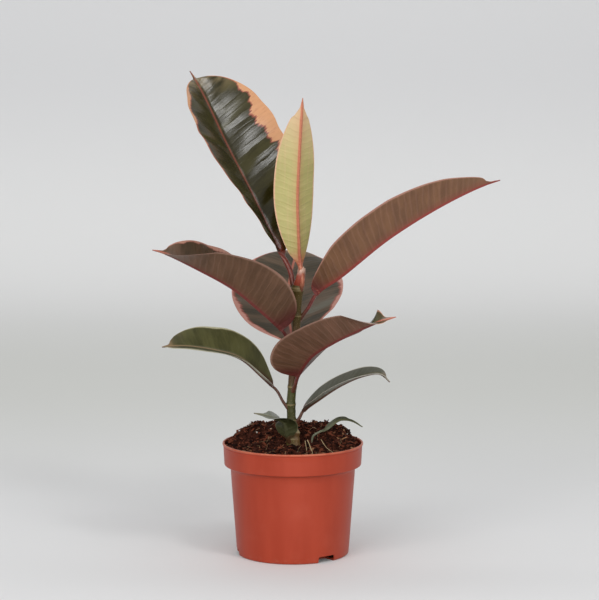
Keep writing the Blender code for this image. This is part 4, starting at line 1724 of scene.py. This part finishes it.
    def ripple(self, sign: float, out: float, travelled: float, share: float, seed: int) -> float:
        """How far the blade waves up or down at a point.

        Args:
            sign: side of the rib.
            out: share of the half width.
            travelled: distance along the leaf.
            share: share of the blade's length.
            seed: a number that sets the leaf apart.

        Returns:
            The height of the wave.
        """
        if share <= 0.0:
            return 0.0
        fade = min(share * 8.0, 1.0) * min((1.0 - share) * 8.0, 1.0)
        margin = self.wave * out ** 2 * noise.noise(Vector((travelled * 38.0, sign * 5.0, seed * 1.7)))
        slow = self.wave * 1.2 * out * noise.noise(Vector((travelled * 16.0, sign * 2.0, seed * 3.1)))
        row = travelled - self.half * out * self.finish.vein_slant
        quilt = self.quilt * cos(2 * pi * row / self.finish.vein_gap) * out * (1.0 - out)
        drift = row + 0.004 * noise.noise(Vector((row * 60.0, sign * 3.0, seed * 0.7)))
        rise = 0.75 + 0.9 * noise.noise(Vector((row * 34.0, sign * 7.0, seed * 2.3)))
        swell = self.swell * rise * cos(2 * pi * drift / self.swell_length + sign + seed) * min(out * 3.0, 1.0)
        return (margin + slow + quilt + swell) * fade


PINK = LeafFinish(dark=(0.021, 0.017, 0.003), mid=(0.042, 0.036, 0.008), grey=(0.072, 0.060, 0.018),
                  edge=(0.55, 0.28, 0.140), rib=(0.21, 0.050, 0.026), crown=(0.26, 0.19, 0.10),
                  edge_width=(0.055, 0.095), edge_wander=2.6, ior=1.46, gloss=0.20,
                  under_rib=(0.20, 0.042, 0.030), stalk=(0.125, 0.020, 0.010))
YOUNG = LeafFinish(under=(0.39, 0.350, 0.135), under_dark=(0.32, 0.295, 0.10), under_edge=(0.55, 0.33, 0.20),
                   under_rib=(0.45, 0.155, 0.085), stalk=(0.33, 0.085, 0.045), tip=(0.58, 0.38, 0.25),
                   tip_start=0.55, under_edge_width=0.05, vein_show=0.05, lengthwise=0.26,
                   crown=(0.30, 0.18, 0.10))
BROWN = LeafFinish(under=(0.174, 0.083, 0.040), under_dark=(0.120, 0.056, 0.028),
                   under_rib=(0.20, 0.036, 0.028), under_edge=(0.37, 0.19, 0.14),
                   stalk=(0.105, 0.022, 0.020), tip=(0.175, 0.094, 0.050), rib_glow=0.38, vein_show=0.11)
SHADED = LeafFinish(under=(0.134, 0.063, 0.036), under_dark=(0.094, 0.045, 0.024),
                    under_rib=(0.12, 0.022, 0.018), under_edge=(0.25, 0.14, 0.10),
                    stalk=(0.085, 0.016, 0.014), tip=(0.19, 0.12, 0.075), blush=(0.20, 0.075, 0.055),
                    edge=(0.50, 0.29, 0.20), crown=(0.17, 0.090, 0.055), vein_show=0.11)
CURLED = replace(SHADED, under=(0.120, 0.061, 0.034), under_dark=(0.086, 0.044, 0.024),
                 dark=(0.045, 0.028, 0.014), mid=(0.090, 0.050, 0.030), grey=(0.13, 0.080, 0.052),
                 edge=(0.36, 0.18, 0.13), gloss=0.30, ior=1.3)
REAR = LeafFinish(dark=(0.034, 0.027, 0.013), mid=(0.100, 0.064, 0.037), grey=(0.120, 0.112, 0.082),
                  edge=(0.50, 0.24, 0.19), edge_width=(0.095, 0.045), edge_wander=1.5, gloss=0.34, ior=1.28)
OLIVE = LeafFinish(dark=(0.042, 0.041, 0.014), mid=(0.076, 0.073, 0.026), grey=(0.12, 0.12, 0.060),
                   edge=(0.44, 0.42, 0.28), blush=(0.16, 0.14, 0.07), rib=(0.22, 0.15, 0.08),
                   under=(0.30, 0.29, 0.20), under_dark=(0.22, 0.21, 0.14), under_edge=(0.50, 0.47, 0.34),
                   under_rib=(0.09, 0.035, 0.022), stalk=(0.050, 0.018, 0.012), tip=(0.36, 0.35, 0.24),
                   edge_width=(0.13, 0.05), edge_wander=0.8, gloss=0.40, ior=1.3)
GREY = LeafFinish(dark=(0.070, 0.072, 0.045), mid=(0.095, 0.098, 0.068), grey=(0.28, 0.29, 0.24),
                  edge=(0.56, 0.53, 0.44), blush=(0.24, 0.24, 0.17), rib=(0.28, 0.22, 0.13),
                  under=(0.13, 0.125, 0.080), under_dark=(0.09, 0.085, 0.055), under_edge=(0.54, 0.50, 0.40),
                  under_rib=(0.10, 0.050, 0.032), stalk=(0.07, 0.028, 0.018), tip=(0.22, 0.22, 0.15),
                  edge_width=(0.06, 0.19), edge_wander=0.9, gloss=0.40, ior=1.3)
SMALL = LeafFinish(dark=(0.12, 0.13, 0.095), mid=(0.20, 0.21, 0.17), grey=(0.27, 0.28, 0.24),
                   edge=(0.40, 0.40, 0.33), blush=(0.20, 0.21, 0.16), rib=(0.16, 0.15, 0.09),
                   under=(0.038, 0.040, 0.013), under_dark=(0.020, 0.021, 0.006), under_edge=(0.11, 0.12, 0.065),
                   under_rib=(0.045, 0.045, 0.018), stalk=(0.050, 0.050, 0.020), tip=(0.14, 0.15, 0.11),
                   edge_width=(0.06, 0.06), edge_wander=0.8, gloss=0.40)
# The shoot's dark underside patches and its near-black underside tip are painted shade.
SHOOT = LeafFinish(dark=(0.10, 0.11, 0.08), mid=(0.15, 0.16, 0.12), grey=(0.20, 0.21, 0.17),
                   edge=(0.34, 0.34, 0.27), blush=(0.14, 0.15, 0.10), rib=(0.12, 0.12, 0.07),
                   under=(0.15, 0.16, 0.12), under_dark=(0.060, 0.068, 0.040), under_edge=(0.24, 0.25, 0.19),
                   under_rib=(0.10, 0.10, 0.05), stalk=(0.14, 0.15, 0.10), tip=(0.035, 0.040, 0.018),
                   edge_width=(0.06, 0.06), edge_wander=0.6, gloss=0.40)

LEAVES = (
    Leaf("leaf_upright_large", side=150.0, rise=0.139, stalk=0.029,
         line=((-0.0028, 0.0037, 0.0139), (-0.0132, 0.0117, 0.0331), (-0.0353, 0.0317, 0.0763),
               (-0.0576, 0.0497, 0.1177), (-0.0755, 0.0617, 0.1546), (-0.0895, 0.0677, 0.1803)),
         half=0.051, widest=0.66, full=0.58, fold=(40, 33, 25), curl=(10, 10, 10),
         face=((0.70, -0.75, 0.1), (0.76, -0.80, 0.3), (0.9, -0.8, 0.3)), finish=PINK, swell=0.0009,
         stalk_radius=0.0023, stalk_over=0.0085, stalk_flare=0.05),
    Leaf("leaf_upright_young", side=-45.0, rise=0.137, stalk=0.024,
         line=((0.0005, -0.0009, 0.0069), (-0.0014, -0.0009, 0.0237), (-0.0023, -0.0017, 0.0425),
               (-0.0032, 0.0003, 0.0761), (-0.0015, 0.0043, 0.1179), (0.0010, 0.0083, 0.1614)),
         half=0.0215, widest=0.52, full=0.78, fold=(30, 35, 30), curl=(0, 0, 0),
         face=((-0.35, 1.0, 0.0), (-0.3, 1.0, 0.0)), finish=YOUNG, stalk_radius=0.0021,
         stalk_flare=0.0),
    Leaf("leaf_right_long", side=-5.0, rise=0.115, stalk=0.026,
         line=((0.0133, -0.0036, 0.0203), (0.0327, -0.0076, 0.0344), (0.0728, -0.0136, 0.0671),
               (0.1154, -0.0136, 0.0936), (0.1490, -0.0096, 0.1097), (0.1659, -0.0076, 0.1154)),
         half=0.037, widest=0.44, full=0.80, fold=(40, 40, 40), curl=(5, 5, 5),
         face=((-0.54, 0.25, 0.8), (-0.5, 0.25, 0.8), (-0.3, 0.3, 0.9)), finish=BROWN),
    Leaf("leaf_left_long", side=190.0, rise=0.091, stalk=0.020,
         line=((-0.0059, -0.0052, 0.0105), (-0.0294, -0.0132, 0.0336), (-0.0485, -0.0192, 0.0496),
               (-0.0775, -0.0252, 0.0663), (-0.1039, -0.0292, 0.0793), (-0.1147, -0.0292, 0.0827)),
         half=0.044, widest=0.38, full=0.80, fold=(40, 40, 40), curl=(5, 5, 5),
         face=((0.54, 0.3, 0.8), (0.5, 0.25, 0.8), (0.35, 0.05, 0.8), (0.2, -0.6, 0.8)), finish=CURLED),
    Leaf("leaf_rear", side=95.0, rise=0.080, stalk=0.016,
         line=((-0.0004, 0.0075, 0.0086), (-0.0046, 0.0455, 0.0243), (-0.0056, 0.0955, 0.0428),
               (-0.0004, 0.1455, 0.0643), (0.0052, 0.1775, 0.0748)),
         half=0.050, widest=0.50, full=0.80, fold=(15, 15, 10), curl=(10, 10, 10),
         face=((-0.1, -0.6, 0.8), (0.05, -0.3, 1.0)), finish=REAR),
    Leaf("leaf_front", side=-68.0, rise=0.0545, stalk=0.018,
         line=((0.0033, -0.0078, 0.0102), (0.0150, -0.0338, 0.0311), (0.0322, -0.0558, 0.0452),
               (0.0540, -0.0738, 0.0585), (0.0715, -0.0838, 0.0672), (0.0828, -0.0858, 0.0707)),
         half=0.0375, widest=0.42, full=0.72, fold=(20, 20, 30), curl=(5, 5, 5),
         face=((-0.6, 0.8, 0.3), (-0.5, 0.7, 0.6), (-0.3, 0.5, 0.8), (-0.1, 0.3, 0.9), (0.1, -0.9, 0.5)),
         finish=SHADED),
    Leaf("leaf_lower_left", side=200.0, rise=0.039, stalk=0.022,
         line=((-0.0077, -0.0024, 0.0116), (-0.0204, -0.0064, 0.0251), (-0.0389, -0.0104, 0.0411),
               (-0.0649, -0.0144, 0.0489), (-0.0850, -0.0164, 0.0518), (-0.1044, -0.0164, 0.0514)),
         half=0.027, widest=0.58, full=0.68, fold=(26, 26, 20), curl=(5, 5, 5),
         face=((0.4, -0.25, 0.8), (0.0, -0.3, 0.9)), finish=OLIVE, drip_tip=0.005, tip_flare=0.0032,
         stalk_radius=0.0012),
    Leaf("leaf_lower_right", side=-15.0, rise=0.0255, stalk=0.014,
         line=((0.0062, -0.0018, 0.0085), (0.0189, -0.0068, 0.0189), (0.0375, -0.0128, 0.0318),
               (0.0559, -0.0168, 0.0402), (0.0702, -0.0188, 0.0422), (0.0787, -0.0188, 0.0354)),
         half=0.022, widest=0.48, full=0.60, fold=(18, 15, 15), curl=(5, 5, 5),
         face=((-0.4, -0.1, 0.8), (0.1, -0.05, 0.9)), finish=GREY, drip_tip=0.004, tip_flare=0.0034,
         stalk_radius=0.0013),
    Leaf("leaf_base_small", side=-125.0, rise=0.0095, stalk=0.006,
         line=((-0.0019, -0.0055, 0.0049), (-0.0040, -0.0085, 0.0154),
               (-0.0152, -0.0100, 0.0202), (-0.0293, -0.0120, 0.0241)),
         half=0.011, widest=0.50, full=0.70, fold=(15, 15, 15), curl=(5, 5, 5),
         face=((0.3, 0.9, 0.0), (0.1, 0.1, 0.9), (0.0, -0.75, 0.7)), finish=SMALL, wave=0.0003, sections=90),
)


def side_shoot(soil: Soil) -> Leaf:
    """The narrow leaf that comes up through the soil on the right.

    Args:
        soil: the soil that it comes out of.

    Returns:
        The leaf.
    """
    place = (0.0163, 0.0010)
    foot = Vector((*place, soil.plain_height(*place)))
    return Leaf("side_shoot", side=0.0, rise=0.0, stalk=0.024,
                line=((0.0014, -0.0012, 0.0052), (0.0119, -0.0030, 0.0115), (0.0237, -0.0030, 0.0195),
                      (0.0339, -0.0040, 0.0187), (0.0432, -0.0040, 0.0135)),
                half=0.0045, widest=0.45, full=0.80, fold=(25, 25, 20), curl=(5, 5, 5),
                face=((-0.3, 0.2, 0.9), (0.0, 0.2, 0.9)), finish=SHOOT, stalk_radius=0.0009,
                wave=0.0002, sections=90, start=foot)


# ---------------------------------------------------------------- set


@dataclass(frozen=True)
class Lamp:
    """A soft rectangular light: its place, size, power in watts, and the point that it faces."""

    name: str
    at: Point
    size: tuple[float, float]
    power: float
    target: Point = (0.0, 0.0, 0.22)

    def build(self) -> None:
        """Build the light."""
        light = bpy.data.lights.new(self.name, "AREA")
        light.shape = "RECTANGLE"
        light.size, light.size_y = self.size
        light.energy = self.power
        place_facing(bpy.data.objects.new(self.name, light), self.at, self.target)


def place_facing(thing: bpy.types.Object, at: Point, target: Point) -> None:
    """Link a light or a camera to the scene and turn it towards a point.

    Args:
        thing: the object.
        at: its place.
        target: the point that it faces.
    """
    thing.location = at
    thing.rotation_euler = (Vector(target) - Vector(at)).to_track_quat("-Z", "Y").to_euler()
    bpy.context.scene.collection.objects.link(thing)


@dataclass
class Studio:
    """A pale sweep of paper, soft lights and the camera."""

    camera_at: Point = (0.0057, -2.0, 0.465)
    look_at: Point = (0.0057, 0.0, 0.218)
    lens: float = 142.7
    paper: Colour = (0.755, 0.755, 0.752)
    # Painted shade behind the pot and on the wall, painted light on the bend:
    paper_behind_painted_shade: Colour = (0.668, 0.672, 0.640)
    paper_bend_painted_light: Colour = (0.805, 0.805, 0.795)
    paper_wall_painted_shade: Colour = (0.665, 0.665, 0.668)
    half_width: float = 7.0
    front: float = -7.8
    length: float = 11.6
    bend_from: float = 1.6
    bend: float = 0.9
    air: Colour = (0.97, 0.98, 1.0)
    air_strength: float = 0.48
    lamps: tuple[Lamp, ...] = (
        Lamp("key", (-1.6, -2.3, 1.35), (1.8, 1.8), 36.0),
        Lamp("fill", (1.7, -2.3, 1.05), (1.6, 1.6), 20.0),
        Lamp("front", (0.1, -3.6, 0.75), (3.0, 1.3), 44.0, (0.0, 0.0, 0.12)),
        Lamp("gloss", (0.62, -0.95, 1.62), (0.26, 0.46), 4.4, (-0.05, 0.05, 0.35)),
        Lamp("wall", (0.0, 0.7, 2.6), (3.4, 0.7), 15.0, (0.0, 2.5, 0.30)),
    )

    def build_sweep(self) -> None:
        """Build the floor and the wall behind it as one curved sheet, with painted shade and painted light
        graded into the paper's tone.
        """
        bm = bmesh.new()
        bmesh.ops.create_grid(bm, x_segments=8, y_segments=90, size=1.0)
        for vert in bm.verts:
            run = (vert.co.y + 1.0) / 2.0 * self.length + self.front
            past = run - self.bend_from
            if past <= 0.0:
                back, up = run, 0.0
            elif past < self.bend * pi / 2:
                back = self.bend_from + self.bend * sin(past / self.bend)
                up = self.bend * (1.0 - cos(past / self.bend))
            else:
                back, up = self.bend_from + self.bend, self.bend + past - self.bend * pi / 2
            vert.co = (vert.co.x * self.half_width, back, up)
        bmesh.ops.recalc_face_normals(bm, faces=bm.faces)
        g = Graph("paper")
        y, z = g.parts(g.place())[1:]
        # Painted shade on the floor behind the pot and up the wall, painted light on the bend.
        shade = g.mix(g.span(y, 0.1, 0.9), self.paper, self.paper_behind_painted_shade)
        shade = g.mix(g.span(y, 1.0, 1.9), shade, self.paper_bend_painted_light)
        shade = g.mix(g.span(z, 0.02, 0.38), shade, self.paper_wall_painted_shade)
        floor = add_piece("floor", bm, [g.finish(Base_Color=shade, Roughness=0.8)], None, (), 80.0)

    def build(self) -> None:
        """Build the set."""
        scene = bpy.context.scene
        scene.view_settings.view_transform = "Standard"
        self.build_sweep()
        world = bpy.data.worlds.new("room")
        world.use_nodes = True
        sockets = world.node_tree.nodes["Background"].inputs
        sockets["Color"].default_value = (*self.air, 1.0)
        sockets["Strength"].default_value = self.air_strength
        scene.world = world
        for lamp in self.lamps:
            lamp.build()
        lens = bpy.data.cameras.new("view")
        lens.lens = self.lens
        lens.clip_start = 0.05
        camera = bpy.data.objects.new("view", lens)
        place_facing(camera, self.camera_at, self.look_at)
        scene.camera = camera


def main() -> None:
    """Build the set and the plant, piece by piece."""
    logging.basicConfig(level=logging.INFO, format="%(message)s")
    Studio().build()
    Pot().build()
    soil = Soil()
    soil.build()
    stem = Stem()
    stem.build()
    Bud().build(stem)
    for number, leaf in enumerate(LEAVES + (side_shoot(soil),)):
        leaf.build(stem, number + 1)


if __name__ == "__main__":
    main()
